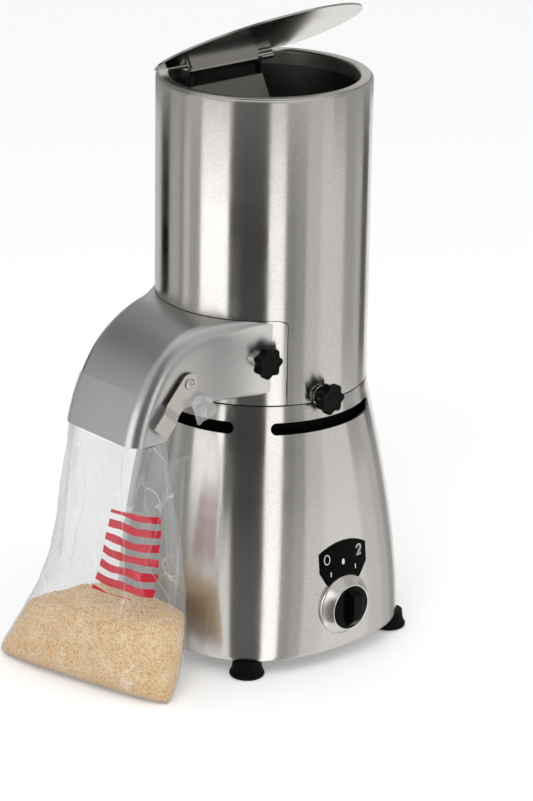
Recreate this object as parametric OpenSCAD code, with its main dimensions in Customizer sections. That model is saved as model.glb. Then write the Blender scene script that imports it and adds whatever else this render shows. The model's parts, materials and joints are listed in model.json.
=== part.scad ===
// Bread crumb machine: a motor base, a hopper tube with knives and sieve, and a chute with a bag
// Millimetres. Z is up, the origin is on the ground under the tube's axis, the chute points to -X
// and the switch to -Y.

/* [Base shell] */
// Height of the shell's foot above the ground
base_z = 18; // [14:1:24]
// Height of the shell
base_h = 260; // [250:2:280]
// From the axis to the middle of a side, at the foot
base_side_r = 136.5; // [130:0.5:140]
// From the axis to a corner, at the foot
base_corner_r = 146.3; // [145:0.1:152]
// Sheet thickness of the shell
base_wall = 2; // [1.5:0.5:3]
// Height of the straight neck under the seam
neck_h = 14; // [10:1:18]
// Width of the flange turned in at the foot
flange_w = 14; // [12:1:18]
// Thickness of the floor plate
floor_t = 2; // [1.5:0.5:4]
// Height of a ventilation slot
slot_h = 12; // [6:1:14]
// Half the angle that a slot spans
slot_half_a = 35.5; // [20:0.5:40]
// From the seam down to the top of the slots
slot_drop = 17.5; // [16:0.5:24]

/* [Feet] */
// Distance between two foot centres
foot_pitch = 195; // [185:1:197]
// Radius of a foot on the ground
foot_r = 18; // [14:0.5:22]
// Radius of a foot under the shell
foot_top_r = 14.5; // [11:0.5:16]
// Radius of a foot bolt
foot_bolt_r = 3; // [2:0.5:3.5]

/* [Tube] */
// Outer radius of the hopper tube
tube_r = 108; // [104:0.5:112]
// Wall of the hopper tube
tube_wall = 2; // [1.5:0.5:3]
// Height of the hopper tube
tube_h = 311; // [280:1:340]
// Width of the top ring, from the tube's outside to the mouth
mouth_w = 13; // [11:0.5:18]
// Thickness of the top ring
ring_t = 2; // [1.5:0.5:3]
// Depth of the mouth's inner lip
lip_h = 14; // [8:1:20]

/* [Door and chute] */
// Height of the door panel
door_h = 88; // [80:1:96]
// From the tube's side to the door panel's edge
door_inset = 12.2; // [11:0.2:18]
// Gap between the door panel and the tube
door_gap = 0.6; // [0.3:0.1:1]
// Half width of the chute
chute_half_w = 57; // [50:1:60]
// Radius of the chute's hollow flanks
flank_r = 180; // [160:5:200]
// Radius of the chute's first bend
bend_1_r = 95; // [85:1:105]
// Angle of the chute's first bend
bend_1_a = 55; // [50:1:60]
// Radius of the chute's second bend
bend_2_r = 185; // [160:5:210]
// Height of the chute's mouth above the ground
mouth_z = 257; // [252:1:262]
// Sheet thickness of the chute
chute_wall = 2; // [1:0.5:3]
// Radius of the chute's long upper edges
chute_edge_r = 16; // [8:1:20]

/* [Knobs] */
// Outer radius of a star knob
knob_r = 16; // [13:0.5:18]
// Thickness of a star knob's head
knob_t = 11; // [8:0.5:14]
// Radius of a star knob's collar
knob_collar_r = 7; // [5.5:0.5:8]
// Radius of a star knob's stud
stud_r = 4; // [3:0.5:5]
// From the tube's chute side to the door knob's axis
door_knob_in = 33; // [30:0.5:36]
// Door knob's axis above the seam
door_knob_up = 50; // [42:1:54]
// Housing knob's axis in X
lock_x = -14; // [-20:1:-8]
// Radius of the washer under the housing knob
washer_r = 10.75; // [9:0.25:13]

/* [Lid] */
// How far the lid's edge stays inside the tube's side
lid_inset = 0.5; // [0:0.5:4]
// Thickness of the lid
lid_t = 2; // [1.5:0.5:3]
// Angle at which the lid stands open
lid_open_a = 28; // [0:1:60]
// From the tube's back to the hinge axis
hinge_inset = 48; // [44:1:52]
// Hinge axis below the mouth's face
hinge_drop = 4; // [3:0.5:6]
// Radius of the hinge rod
hinge_rod_r = 3; // [2:0.25:3.5]

/* [Switch] */
// Switch axis in X
switch_x = -1.7; // [-15:0.1:15]
// Switch axis above the ground
switch_z = 64; // [60:1:85]
// Radius of the bezel at the shell
bezel_r = 31.5; // [28:0.5:36]
// Radius of the switch knob
dial_r = 22; // [18:0.5:24]
// Depth of the bezel
bezel_t = 11; // [8:0.5:14]
// Length of the knob's grip bar in front of the bezel
grip_t = 10.4; // [8:0.2:18]
// Width of the grip bar
grip_w = 11; // [9:0.5:16]

/* [Motor] */
// Outer radius of the motor
motor_r = 65; // [58:1:68]
// Length of the motor's can
motor_can_h = 126; // [116:2:130]
// Radius of the motor shaft
shaft_r = 8.5; // [7:0.5:9]
// Outer radius of a shaft bearing
bearing_r = 20; // [17:0.5:22]
// Width of a shaft bearing
bearing_t = 12; // [9:0.5:14]
// Thickness of the deck that carries the motor
deck_t = 6; // [5:0.5:8]

/* [Knives and sieve] */
// From the tube's outside to the sieve
sieve_gap = 16; // [15.5:0.5:20]
// Thickness of the sieve's sheet
sieve_t = 1.5; // [1:0.5:2.5]
// Width of a slit in the sieve
slit_w = 3.6; // [2:0.2:3.8]
// Number of slits in half the sieve
slit_n = 18; // [8:1:24]
// From the sieve to the tip of a knife bar
knife_gap = 5; // [4:0.5:12]
// Width of a knife bar
knife_w = 26; // [20:1:30]
// Thickness of a knife bar
knife_t = 5; // [3:0.5:7]
// Height between the two knife bars
knife_pitch = 26; // [20:1:30]

/* [Clip and bag] */
// Width of the bag clip
clip_w = 20.6; // [14:0.2:24]
// Thickness of the clip's sheet
clip_t = 1.2; // [0.8:0.2:2]
// From the tube's chute side out to the clip's screw
clip_out_x = 37.6; // [32:0.2:42]
// Clip's screw above the seam
clip_up = 34.4; // [28:0.2:38]
// Angle of the clip below the horizontal
clip_a = 48; // [40:1:56]
// Radius of the clip's screw head
screw_head_r = 5.5; // [4.5:0.5:7]
// Wall of the bag's plain solid
bag_wall = 1.2; // [0.8:0.2:2]

/* [Hidden] */
$fn = 96;

// Clearances
eps = 0.01;
cut = 1;
fit = 0.05;
seat = 0.4;
loose = 0.5;
soft = 0.35;

// Levels
neck_z = base_z + base_h - neck_h;
seam_z = base_z + base_h;
floor_z = base_z + base_wall + floor_t;
rim_z = seam_z + tube_h;
door_z = seam_z + door_h;
slot_z = seam_z - slot_drop;
shelf_t = 3;
deck_z = neck_z;
deck_top = deck_z + deck_t;
tube_in = tube_r - tube_wall;
inset_r = tube_in - seat;
mouth_r = tube_r - mouth_w;
lid_r = tube_r - lid_inset;
hinge_y = tube_r - hinge_inset;
sieve_r = tube_r - sieve_gap;
knife_reach = sieve_r - knife_gap;
door_half_w = tube_r - door_inset;
door_knob_x = door_knob_in - tube_r;
door_knob_z = seam_z + door_knob_up;
clip_x = -tube_r - clip_out_x;
clip_z = seam_z + clip_up;
bag_x = -tube_r - 79;
sieve_low = deck_top + 14;
sieve_top = door_z + 2;

// Base shell: a round neck that swells to a rounded square
shell_sides = 64;
shell_rings = 12;
neck_r = tube_r + 1.9;
seam_r = tube_r + 0.2;
swell_z = base_z + 102;
swell_r = base_corner_r - 2.6;
function swell_t(z) =
    let (a = base_z - 2 * swell_z + neck_z, b = 2 * (swell_z - base_z), c = base_z - z)
    (-b + sqrt(b * b - 4 * a * c)) / (2 * a);
function swell(t) =
    (1 - t) * (1 - t) * base_corner_r + 2 * t * (1 - t) * swell_r + t * t * neck_r;
function corner_r(z) =
    z < neck_z ? swell(swell_t(z)) : neck_r + (seam_r - neck_r) * (z - neck_z) / neck_h;
function side_r(z) =
    corner_r(z) - (z < neck_z ? (base_corner_r - base_side_r) * (neck_z - z) / (neck_z - base_z) : 0);
function shell_r(z, a) = side_r(z) + (corner_r(z) - side_r(z)) * (1 - cos(4 * a)) / 2;
function shell_ring(z, grow) = [
    for (i = [0 : shell_sides - 1])
        let (a = 360 * i / shell_sides, r = shell_r(z, a) + grow)
        [r * cos(a), r * sin(a), z]
];
shell_levels = concat(
    [for (i = [0 : shell_rings]) base_z + (neck_z - base_z) * i / shell_rings], [seam_z]);

// A closed skin over rings of points, the first ring at one end and the last at the other
function flat_list(rings) = [for (ring = rings) for (p = ring) p];
function skin_faces(n, m) = concat(
    [[for (i = [0 : n - 1]) i]],
    [for (k = [0 : m - 2]) for (i = [0 : n - 1])
        let (j = (i + 1) % n)
        [k * n + i, (k + 1) * n + i, (k + 1) * n + j, k * n + j]],
    [[for (i = [n - 1 : -1 : 0]) (m - 1) * n + i]]);
module skin(rings) {
    polyhedron(flat_list(rings), skin_faces(len(rings[0]), len(rings)), convexity = 6);
}
module shell_solid(grow, bottom, top) {
    levels = concat([bottom], [for (z = shell_levels) if (z > bottom + 1 && z < top - 1) z], [top]);
    skin([for (z = levels) shell_ring(z, grow)]);
}
module flat_shape(z, grow) {
    polygon([for (p = shell_ring(z, grow)) [p[0], p[1]]]);
}

// Places of the feet
foot_places = [for (sx = [-1, 1]) for (sy = [-1, 1]) [sx * foot_pitch / 2, sy * foot_pitch / 2]];
foot_lip_h = 3;
foot_hole_deep = 14;
nut_r = 1.9 * foot_bolt_r;
nut_h = 5;

// A tube section between two radii
module ring(r_out, r_in, z0, z1) {
    difference() {
        translate([0, 0, z0]) cylinder(r = r_out, h = z1 - z0);
        translate([0, 0, z0 - cut]) cylinder(r = r_in, h = z1 - z0 + 2 * cut);
    }
}
// A rod along -Y from y0 to y1, at x and z
module rod_y(r, x, z, y0, y1) {
    translate([x, max(y0, y1), z]) rotate([90, 0, 0]) cylinder(r = r, h = abs(y1 - y0));
}

module base_shell() {
    color("#b9b7b3") difference() {
        union() {
            difference() {
                shell_solid(0, base_z, seam_z);
                shell_solid(-base_wall, base_z + base_wall, seam_z + cut);
            }
            ring(neck_r - 0.8, shelf_in_r, deck_z - shelf_t, deck_z);
        }
        translate([0, 0, base_z - cut]) linear_extrude(base_wall + 2 * cut)
            flat_shape(base_z, -flange_w);
        for (p = foot_places)
            translate([p[0], p[1], base_z - cut]) cylinder(r = foot_bolt_r + 0.2, h = 3 * cut + base_wall);
        for (q = [0 : 3]) rotate([0, 0, 90 * q]) vent_slot();
        rod_y(switch_neck_r + loose, switch_x, switch_z, -base_side_r - 9, -base_side_r + 30);
        rod_y(gland_r + loose, gland_x, gland_z, base_side_r - 30, base_side_r + 9);
    }
}
shelf_in_r = tube_in - 8;
slot_end_a = slot_half_a - asin(slot_h / 2 / neck_r);
module vent_slot() {
    mid = slot_z - slot_h / 2;
    rotate([0, 0, -slot_end_a]) rotate_extrude(angle = 2 * slot_end_a)
        translate([shelf_in_r, mid - slot_h / 2]) square([40, slot_h]);
    for (a = [-slot_end_a, slot_end_a])
        rotate([0, 0, a]) translate([shelf_in_r, 0, mid]) rotate([0, 90, 0])
            cylinder(r = slot_h / 2, h = 40);
}

module base_floor() {
    color("#8d8c8a") difference() {
        translate([0, 0, base_z + base_wall]) linear_extrude(floor_t)
            flat_shape(base_z + base_wall, -base_wall - seat);
        for (p = foot_places)
            translate([p[0], p[1], base_z]) cylinder(r = foot_bolt_r + 0.2, h = 10 * floor_t);
        for (x = [-50 : 20 : 50]) for (y = [-20, 20])
            translate([x, y, base_z]) cylinder(r = 3, h = 10 * floor_t);
    }
}

module foot(p) {
    color("#1b1b1c") translate([p[0], p[1], 0]) difference() {
        rotate_extrude() polygon(concat(
            [[0, 0], [foot_r - foot_lip_h, 0]],
            [for (a = [-60 : 30 : 60])
                [foot_r - foot_lip_h + foot_lip_h * cos(a), foot_lip_h + foot_lip_h * sin(a)]],
            [[foot_top_r + 0.8, base_z * 0.55], [foot_top_r, base_z - 2], [foot_top_r, base_z],
                [0, base_z]]));
        translate([0, 0, base_z - foot_hole_deep]) cylinder(r = foot_bolt_r + fit, h = foot_hole_deep + cut);
    }
}
module foot_bolts() {
    color("#a9a9a7") for (p = foot_places) translate([p[0], p[1], 0]) {
        translate([0, 0, base_z - foot_hole_deep + cut])
            cylinder(r = foot_bolt_r, h = floor_z - base_z + foot_hole_deep - cut + eps);
        rotate([0, 0, 45 + 30]) translate([0, 0, floor_z]) cylinder(r = nut_r, h = nut_h, $fn = 6);
    }
}

// Deck, motor and what fastens them
motor_top = deck_z;
shield_t = bearing_t + 6;
can_top = motor_top - shield_t;
can_bottom = can_top - motor_can_h;
can_wall = 4;
low_shield_t = bearing_t + 2;
bolt_ring_r = 50;
bolt_places = [for (a = [45 : 90 : 315]) [bolt_ring_r * cos(a), bolt_ring_r * sin(a)]];
motor_bolt_r = 3;
motor_bolt_head_r = 5;
head_pocket_h = 4.5;
seal_r = 22;
shaft_top = sieve_top - 22;
shoulder_r = shaft_r + 3.5;
module deck_plate() {
    color("#9a9997") difference() {
        translate([0, 0, deck_z]) cylinder(r = inset_r, h = deck_t);
        translate([0, 0, deck_z - cut]) cylinder(r = seal_r + fit, h = deck_t + 2 * cut);
        for (p = bolt_places) translate([p[0], p[1], deck_z - cut]) {
            cylinder(r = motor_bolt_r + fit, h = deck_t + 2 * cut);
            translate([0, 0, cut + deck_t - head_pocket_h])
                cylinder(r = motor_bolt_head_r + loose, h = head_pocket_h + cut);
        }
    }
}
module motor_bolts() {
    color("#b5b5b3") for (p = bolt_places) translate([p[0], p[1], 0]) {
        translate([0, 0, deck_z - 10]) cylinder(r = motor_bolt_r, h = 10 + deck_t - head_pocket_h + eps);
        translate([0, 0, deck_top - head_pocket_h]) cylinder(r = motor_bolt_head_r, h = head_pocket_h - 0.5);
    }
}
module shaft_seal() {
    color("#262626") ring(seal_r, shaft_r + fit, deck_z, deck_top);
}
module vent_guard() {
    color("#222223") ring(shelf_in_r + 2.5, shelf_in_r + 1, slot_z - 2 * slot_h, deck_z - shelf_t);
}
module motor_can() {
    color("#6f7377") ring(motor_r, motor_r - can_wall, can_bottom, can_top);
}
module top_shield() {
    color("#8f9193") difference() {
        translate([0, 0, can_top]) cylinder(r = motor_r, h = shield_t);
        translate([0, 0, can_top - cut]) cylinder(r = bearing_r + fit, h = bearing_t + cut);
        translate([0, 0, can_top]) cylinder(r = shaft_r + 2, h = shield_t + cut);
        for (p = bolt_places) translate([p[0], p[1], motor_top - 12])
            cylinder(r = motor_bolt_r + fit, h = 12 + cut);
    }
}
module bottom_shield() {
    color("#8f9193") difference() {
        translate([0, 0, can_bottom - low_shield_t]) cylinder(r = motor_r, h = low_shield_t);
        translate([0, 0, can_bottom - bearing_t]) cylinder(r = bearing_r + fit, h = bearing_t + cut);
        translate([0, 0, can_bottom - low_shield_t - cut]) cylinder(r = shaft_r + 2, h = shield_t + cut);
    }
}
core_low = can_bottom + 20;
core_high = can_top - 26;
core_bore_r = 37;
module stator_core() {
    color("#54575a") ring(motor_r - can_wall - 0.2, core_bore_r, core_low, core_high);
}
module windings() {
    color("#a5562a") {
        ring(motor_r - can_wall - 6, core_bore_r + 3, core_high, core_high + 18);
        ring(motor_r - can_wall - 6, core_bore_r + 3, core_low - 16, core_low);
    }
}
module bearing_upper() {
    color("#c6c7c8") ring(bearing_r, shaft_r + fit, can_top, can_top + bearing_t);
}
module bearing_lower() {
    color("#c6c7c8") ring(bearing_r, shaft_r + fit, can_bottom - bearing_t, can_bottom);
}
fan_r = 54;
fan_z = can_bottom - low_shield_t - 16;
module fan_cowl() {
    color("#3c3f42") difference() {
        translate([0, 0, fan_z - 6]) cylinder(r = motor_r - 4, h = can_bottom - low_shield_t - fan_z + 6);
        translate([0, 0, fan_z - 4])
            cylinder(r = motor_r - 6, h = can_bottom - low_shield_t - fan_z + 4 + cut);
        for (r = [18 : 12 : 42]) for (a = [0 : 45 : 315])
            rotate([0, 0, a + r]) translate([r, 0, fan_z - 7]) cylinder(r = 2.5, h = 4);
    }
}

// Inside the base, on the floor plate
cap_x = 62;
cap_y = 66;
cap_r = 17;
cap_h = 60;
module capacitor() {
    color("#c9cacb") translate([cap_x, cap_y, floor_z]) cylinder(r = cap_r, h = cap_h);
}
module capacitor_clip() {
    color("#8a8b8c") {
        translate([cap_x, cap_y, floor_z + 10]) difference() {
            cylinder(r = cap_r + 2, h = 14);
            translate([0, 0, -cut]) cylinder(r = cap_r + 0.2, h = 14 + 2 * cut);
        }
        translate([cap_x - cap_r - 3.5, cap_y - 7, floor_z]) cube([2, 14, 24]);
        translate([cap_x - cap_r - 15.5, cap_y - 7, floor_z]) cube([14, 14, 2]);
    }
}
module terminal_block() {
    color("#e3ded2") translate([-75, 62, floor_z]) difference() {
        cube([50, 18, 16]);
        for (x = [7 : 12 : 43]) translate([x, 9, 6]) cylinder(r = 3, h = 11);
    }
}
gland_x = 0;
gland_z = 48;
gland_r = 8;
cable_r = 4;
gland_wall_y = side_r(gland_z);
gland_in_y = gland_wall_y - 12;
module cable_gland() {
    color("#26282a") difference() {
        union() {
            rod_y(gland_r, gland_x, gland_z, gland_in_y, gland_wall_y + 4);
            difference() {
                rod_y(gland_r + 4, gland_x, gland_z, gland_wall_y - 6, gland_wall_y + 6);
                shell_solid(0.2, base_z + 8, base_z + 80);
            }
            rod_y(gland_r - 1, gland_x, gland_z, gland_wall_y + 3, gland_wall_y + 14);
        }
        rod_y(cable_r, gland_x, gland_z, gland_in_y - cut, gland_wall_y + 20);
    }
}
module gland_nut() {
    color("#26282a") difference() {
        translate([gland_x, gland_wall_y - base_wall - 2.8, gland_z]) rotate([90, 0, 0])
            cylinder(r = gland_r + 4, h = 5, $fn = 6);
        rod_y(gland_r + fit, gland_x, gland_z, gland_in_y - cut, gland_wall_y + 5);
    }
}

// Switch
switch_wall_y = -side_r(switch_z);
switch_neck_r = 11;
switch_box = 40;
switch_deep = 42;
switch_face_y = switch_wall_y + base_wall + 2.6;
bezel_floor_y = switch_wall_y - 3;
dial_face_y = switch_wall_y - bezel_t;
spindle_r = 4;
module switch_body() {
    color("#2b2d30") difference() {
        union() {
            translate([switch_x - switch_box / 2, switch_face_y, switch_z - switch_box / 2])
                cube([switch_box, switch_deep, switch_box]);
            rod_y(switch_neck_r, switch_x, switch_z, bezel_floor_y, switch_face_y + cut);
        }
        rod_y(spindle_r + fit, switch_x, switch_z, bezel_floor_y - cut, switch_face_y + 12);
    }
}
module switch_bezel() {
    color("#c4c3c1") difference() {
        translate([switch_x, switch_wall_y + 3, switch_z]) rotate([90, 0, 0]) rotate_extrude()
            polygon([[0, 0], [bezel_r, 0], [bezel_r, 4], [dial_r + 2, bezel_t + 3], [0, bezel_t + 3]]);
        shell_solid(0.15, base_z + 4, base_z + 100);
        rod_y(dial_r + 0.6, switch_x, switch_z, bezel_floor_y - 3, switch_wall_y - bezel_t - cut);
        rod_y(switch_neck_r + 0.2, switch_x, switch_z, bezel_floor_y, switch_face_y);
        rod_y(spindle_r + fit, switch_x, switch_z, bezel_floor_y - 10, switch_face_y);
    }
}
module switch_knob() {
    color("#161617") {
        rod_y(dial_r, switch_x, switch_z, bezel_floor_y - 3.3, switch_wall_y - bezel_t);
        rod_y(spindle_r, switch_x, switch_z, switch_face_y + 10, bezel_floor_y - 4);
        translate([switch_x - grip_w / 2, dial_face_y, switch_z]) rotate([90, 0, 90])
            linear_extrude(grip_w) polygon([
                [0.5, 1.2 - dial_r], [0, 1.2 - dial_r], [-grip_t, -dial_r / 2],
                [-grip_t, dial_r - 6], [0, dial_r - 1], [0.5, dial_r - 1]]);
    }
}
plate_r = 69;
plate_left_a = -23;
plate_right_a = 30;
plate_t = 0.9;
module switch_plate() {
    color("#121213") difference() {
        intersection() {
            difference() {
                shell_solid(0.2 + plate_t, base_z + 20, base_z + 140);
                shell_solid(0.2, base_z + 19, base_z + 141);
            }
            translate([switch_x, -base_side_r + 20, switch_z]) rotate([90, 0, 0]) linear_extrude(40)
                polygon(concat(
                    [for (i = [0 : 10]) let (a = plate_left_a + (plate_right_a - plate_left_a) * i / 10)
                        plate_r * [sin(a), cos(a)]],
                    [[plate_r * sin(plate_right_a), 40], [20, 25], [-20, 25],
                        [plate_r * sin(plate_left_a), 40]]));
        }
        rod_y(bezel_r + 0.3, switch_x, switch_z, switch_wall_y - 20, switch_wall_y + 20);
    }
}

// Joint between base and tube
lock_z = seam_z + 6;
spigot_in_r = inset_r - 2.6;
lock_seat_y = -tube_r - 0.3;
washer_t = 1.5;
module spigot_ring() {
    color("#a3a2a0") difference() {
        union() {
            ring(inset_r, spigot_in_r, deck_top, seam_z + 10);
            intersection() {
                rod_y(stud_r + 3, lock_x, lock_z, -tube_r - 5, -spigot_in_r + 12);
                ring(inset_r, spigot_in_r - 1.4, deck_top, seam_z + 20);
            }
        }
        rod_y(stud_r + fit, lock_x, lock_z, -tube_r - 5, -spigot_in_r + 20);
    }
}
module housing_washer() {
    color("#d8d8d7") difference() {
        rod_y(washer_r, lock_x, lock_z, lock_seat_y, lock_seat_y - washer_t);
        rod_y(stud_r + 0.3, lock_x, lock_z, lock_seat_y + cut, lock_seat_y - washer_t - cut);
    }
}
// A star knob on a stud, along -Y from its seat
knob_lobes = 7;
module star_knob(x, z, seat_y, collar, reach) {
    translate([x, seat_y, z]) rotate([90, 0, 0]) {
        cylinder(r = knob_collar_r, h = collar + eps);
        translate([0, 0, collar]) difference() {
            cylinder(r = knob_r, h = knob_t);
            for (i = [0 : knob_lobes - 1]) rotate([0, 0, (i + 0.5) * 360 / knob_lobes])
                translate([knob_r * 1.08, 0, -cut]) cylinder(r = knob_r * 0.3, h = knob_t + 2 * cut);
        }
        translate([0, 0, -reach]) cylinder(r = stud_r, h = reach + eps);
    }
}
module housing_knob() {
    color("#141415") star_knob(lock_x, lock_z, lock_seat_y - washer_t - 0.1, 5.3,
        -lock_seat_y + washer_t - spigot_in_r + 0.8);
}

// Hopper tube, its mouth and the lid's hinge
mouth_z_top = rim_z + 1;
edge_round = 3;
module door_prism(grow) {
    w = door_half_w + grow;
    h = door_h + grow;
    r = 6;
    translate([-tube_r - 20, 0, seam_z]) rotate([90, 0, 90]) linear_extrude(tube_r - 20) union() {
        translate([-w, -40]) square([2 * w, 40 + h - r]);
        translate([-w + r, -40]) square([2 * w - 2 * r, 40 + h]);
        for (s = [-1, 1]) translate([s * (w - r), h - r]) circle(r = r);
    }
}
module hopper_tube() {
    color("#bdbbb7") difference() {
        rotate_extrude() polygon(concat(
            [[tube_in, seam_z], [tube_r, seam_z]],
            [for (a = [0 : 15 : 60])
                [tube_r - edge_round * (1 - cos(a)), rim_z - edge_round + edge_round * sin(a)]],
            [[tube_r - edge_round * 0.5, rim_z - 0.2], [tube_in, rim_z - 0.2]]));
        door_prism(door_gap);
        rod_y(stud_r + loose, lock_x, lock_z, -tube_r - 5, -tube_r + 10);
        translate([lock_x - stud_r - loose, -tube_r - 5, seam_z - cut])
            cube([2 * stud_r + 2 * loose, 15, lock_z - seam_z + cut]);
    }
}
module top_ring() {
    color("#cfcdca") rotate_extrude() polygon(concat(
        [[mouth_r, rim_z - lip_h], [mouth_r + ring_t, rim_z - lip_h],
            [mouth_r + ring_t, mouth_z_top - ring_t - 1], [inset_r, mouth_z_top - ring_t - 1],
            [inset_r, mouth_z_top - 0.6], [inset_r - 0.6, mouth_z_top]],
        [for (a = [90 : 15 : 180])
            [mouth_r + edge_round + edge_round * cos(a), mouth_z_top - edge_round + edge_round * sin(a)]]));
}
hinge_z = mouth_z_top - hinge_drop;
knuckle_r = hinge_rod_r + 2;
bridge_t = 1.5;
bridge_y = hinge_y + knuckle_r + 1;
lug_xs = [-54, 42];
lug_t = 3;
guard_lug_t = 2;
knuckle_x = lug_xs[0] + lug_t + guard_lug_t + loose;
knuckle_w = lug_xs[1] - guard_lug_t - loose - knuckle_x;
lid_gap = 2.2;
lid_z = mouth_z_top + lid_gap;
lid_back_y = hinge_y - 4;
module rear_bridge() {
    color("#8b8a88") difference() {
        union() {
            translate([0, 0, mouth_z_top - bridge_t]) linear_extrude(bridge_t) intersection() {
                circle(r = mouth_r - 0.3);
                translate([-mouth_r, bridge_y]) square([2 * mouth_r, mouth_r]);
            }
            for (x = lug_xs) translate([x, hinge_y - knuckle_r, hinge_z - knuckle_r - 2])
                cube([lug_t, 2 * knuckle_r + 10, knuckle_r + 2 + hinge_drop - bridge_t + eps]);
        }
        translate([lug_xs[0] - 10, hinge_y, hinge_z]) rotate([0, 90, 0])
            cylinder(r = hinge_rod_r + fit, h = lug_xs[1] - lug_xs[0] + 30);
    }
}
module hinge_rod() {
    color("#dededc") translate([lug_xs[0], hinge_y, hinge_z]) rotate([0, 90, 0])
        cylinder(r = hinge_rod_r, h = lug_xs[1] - lug_xs[0] + 20);
}
module lid() {
    color("#c2c0bd") translate([0, hinge_y, hinge_z]) rotate([-lid_open_a, 0, 0])
        translate([0, -hinge_y, -hinge_z]) difference() {
            union() {
                translate([0, 0, lid_z]) linear_extrude(lid_t) intersection() {
                    circle(r = lid_r);
                    translate([-lid_r, -2 * lid_r]) square([2 * lid_r, 2 * lid_r + lid_back_y]);
                }
                translate([knuckle_x, hinge_y, hinge_z]) rotate([0, 90, 0])
                    cylinder(r = knuckle_r, h = knuckle_w);
                translate([knuckle_x, lid_back_y - 4, hinge_z])
                    cube([knuckle_w, 4, lid_z - hinge_z + eps]);
            }
            translate([knuckle_x - cut, hinge_y, hinge_z]) rotate([0, 90, 0])
                cylinder(r = hinge_rod_r + fit, h = knuckle_w + 2 * cut);
        }
}
guard_w = 76;
guard_drop = 42;
guard_run = 22;
guard_y = hinge_y - knuckle_r - 1.5;
module guard_plate() {
    color("#777674") {
        for (x = [lug_xs[0] + lug_t, lug_xs[1] - guard_lug_t]) translate([x, guard_y - 2, hinge_z - 14])
            cube([guard_lug_t, 10, 13.7 - hinge_rod_r]);
        translate([lug_xs[0] + lug_t, guard_y, hinge_z - 14]) rotate([90, 0, 90])
            linear_extrude(lug_xs[1] - lug_xs[0] - lug_t) polygon([
                [0, 0], [-2, 0], [-guard_run - 2, -guard_drop], [-guard_run, -guard_drop]]);
    }
}

// Hopper funnel, sieve and knives
throat_r = sieve_r - 12;
funnel_t = 2;
funnel_h = 58;
flange_t = 2;
module hopper_funnel() {
    color("#6d6c6a") rotate_extrude() polygon([
        [throat_r, sieve_top + flange_t], [throat_r + 6, sieve_top + flange_t],
        [throat_r + 6, sieve_top + flange_t + 1.5], [throat_r + funnel_t, sieve_top + flange_t + 1.5],
        [inset_r, sieve_top + funnel_h], [inset_r, sieve_top + funnel_h + 6],
        [inset_r - funnel_t, sieve_top + funnel_h + 6], [inset_r - funnel_t, sieve_top + funnel_h]]);
}
module sieve() {
    color("#c7c8c8") difference() {
        union() {
            ring(sieve_r, sieve_r - sieve_t, sieve_low, sieve_top + eps);
            ring(inset_r, throat_r, sieve_top, sieve_top + flange_t);
            ring(inset_r, inset_r - 1.6, sieve_top, sieve_top + 14);
        }
        for (i = [0 : slit_n - 1]) rotate([0, 0, 180 * i / slit_n])
            translate([-sieve_r - 5, -slit_w / 2, sieve_low + 8])
                cube([2 * sieve_r + 10, slit_w, sieve_top - sieve_low - 16]);
    }
}
disc_z = deck_top + 4;
disc_t = 6;
disc_r = sieve_r + 8;
vane_in_r = sieve_r + 2;
module rotor_disc() {
    color("#b0b0ae") difference() {
        union() {
            translate([0, 0, disc_z]) cylinder(r = disc_r, h = disc_t);
            for (a = [0 : 90 : 270]) rotate([0, 0, a]) intersection() {
                translate([vane_in_r, -5, disc_z + disc_t - eps]) cube([20, 10, 20]);
                translate([0, 0, disc_z]) cylinder(r = disc_r, h = 60);
            }
        }
        translate([0, 0, disc_z - cut]) cylinder(r = shaft_r + fit, h = disc_t + 2 * cut);
    }
}
hub_z = disc_z + disc_t;
knife_hub_r = 20;
knife_low = hub_z + 10;
knife_zs = [knife_low, knife_low + knife_pitch];
knife_sweep = 30;
knife_tip = 6;
module knife_hub() {
    color("#9d9d9b") difference() {
        ring(knife_hub_r, shaft_r + fit, hub_z, shaft_top - 14);
        for (z = knife_zs) translate([0, 0, z - 0.2])
            ring(knife_hub_r + 5, knife_hub_r - 4, 0, knife_t + 0.4);
    }
}
module knife_bars() {
    color("#cfcfcd") for (i = [0, 1]) rotate([0, 0, 20 + 90 * i])
        translate([0, 0, knife_zs[i]]) difference() {
            linear_extrude(knife_t) polygon([
                [-knife_reach, knife_tip - knife_w / 2 - 2], [-knife_reach + knife_tip, -knife_w / 2],
                [knife_reach - knife_sweep, -knife_w / 2], [knife_reach, knife_w / 2 + 2 - knife_tip],
                [knife_reach - knife_tip, knife_w / 2], [-knife_reach + knife_sweep, knife_w / 2]]);
            translate([0, 0, -cut]) cylinder(r = knife_hub_r - 3.9, h = knife_t + 2 * cut);
        }
}
module lock_nut() {
    color("#c2c2c0") difference() {
        translate([0, 0, shaft_top - 14]) cylinder(r = 15, h = 10, $fn = 6);
        translate([0, 0, shaft_top - 15]) cylinder(r = shaft_r + fit, h = 12);
    }
}
module motor_shaft() {
    color("#c9c9c7") {
        translate([0, 0, fan_z - 2]) cylinder(r = shaft_r, h = shaft_top - fan_z + 2);
        translate([0, 0, can_bottom + 0.3]) cylinder(r = shoulder_r, h = motor_can_h - 0.6);
    }
}
module rotor_core() {
    color("#5d6063") ring(core_bore_r - 0.6, shoulder_r + fit, core_low + 1, core_high - 1);
}
module cooling_fan() {
    color("#303234") {
        ring(15, shaft_r + fit, fan_z, fan_z + 13);
        ring(fan_r, 14, fan_z, fan_z + 2);
        for (a = [0 : 45 : 315]) rotate([0, 0, a])
            translate([14, -1, fan_z + 1]) cube([fan_r - 16, 2, 12]);
    }
}

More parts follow.
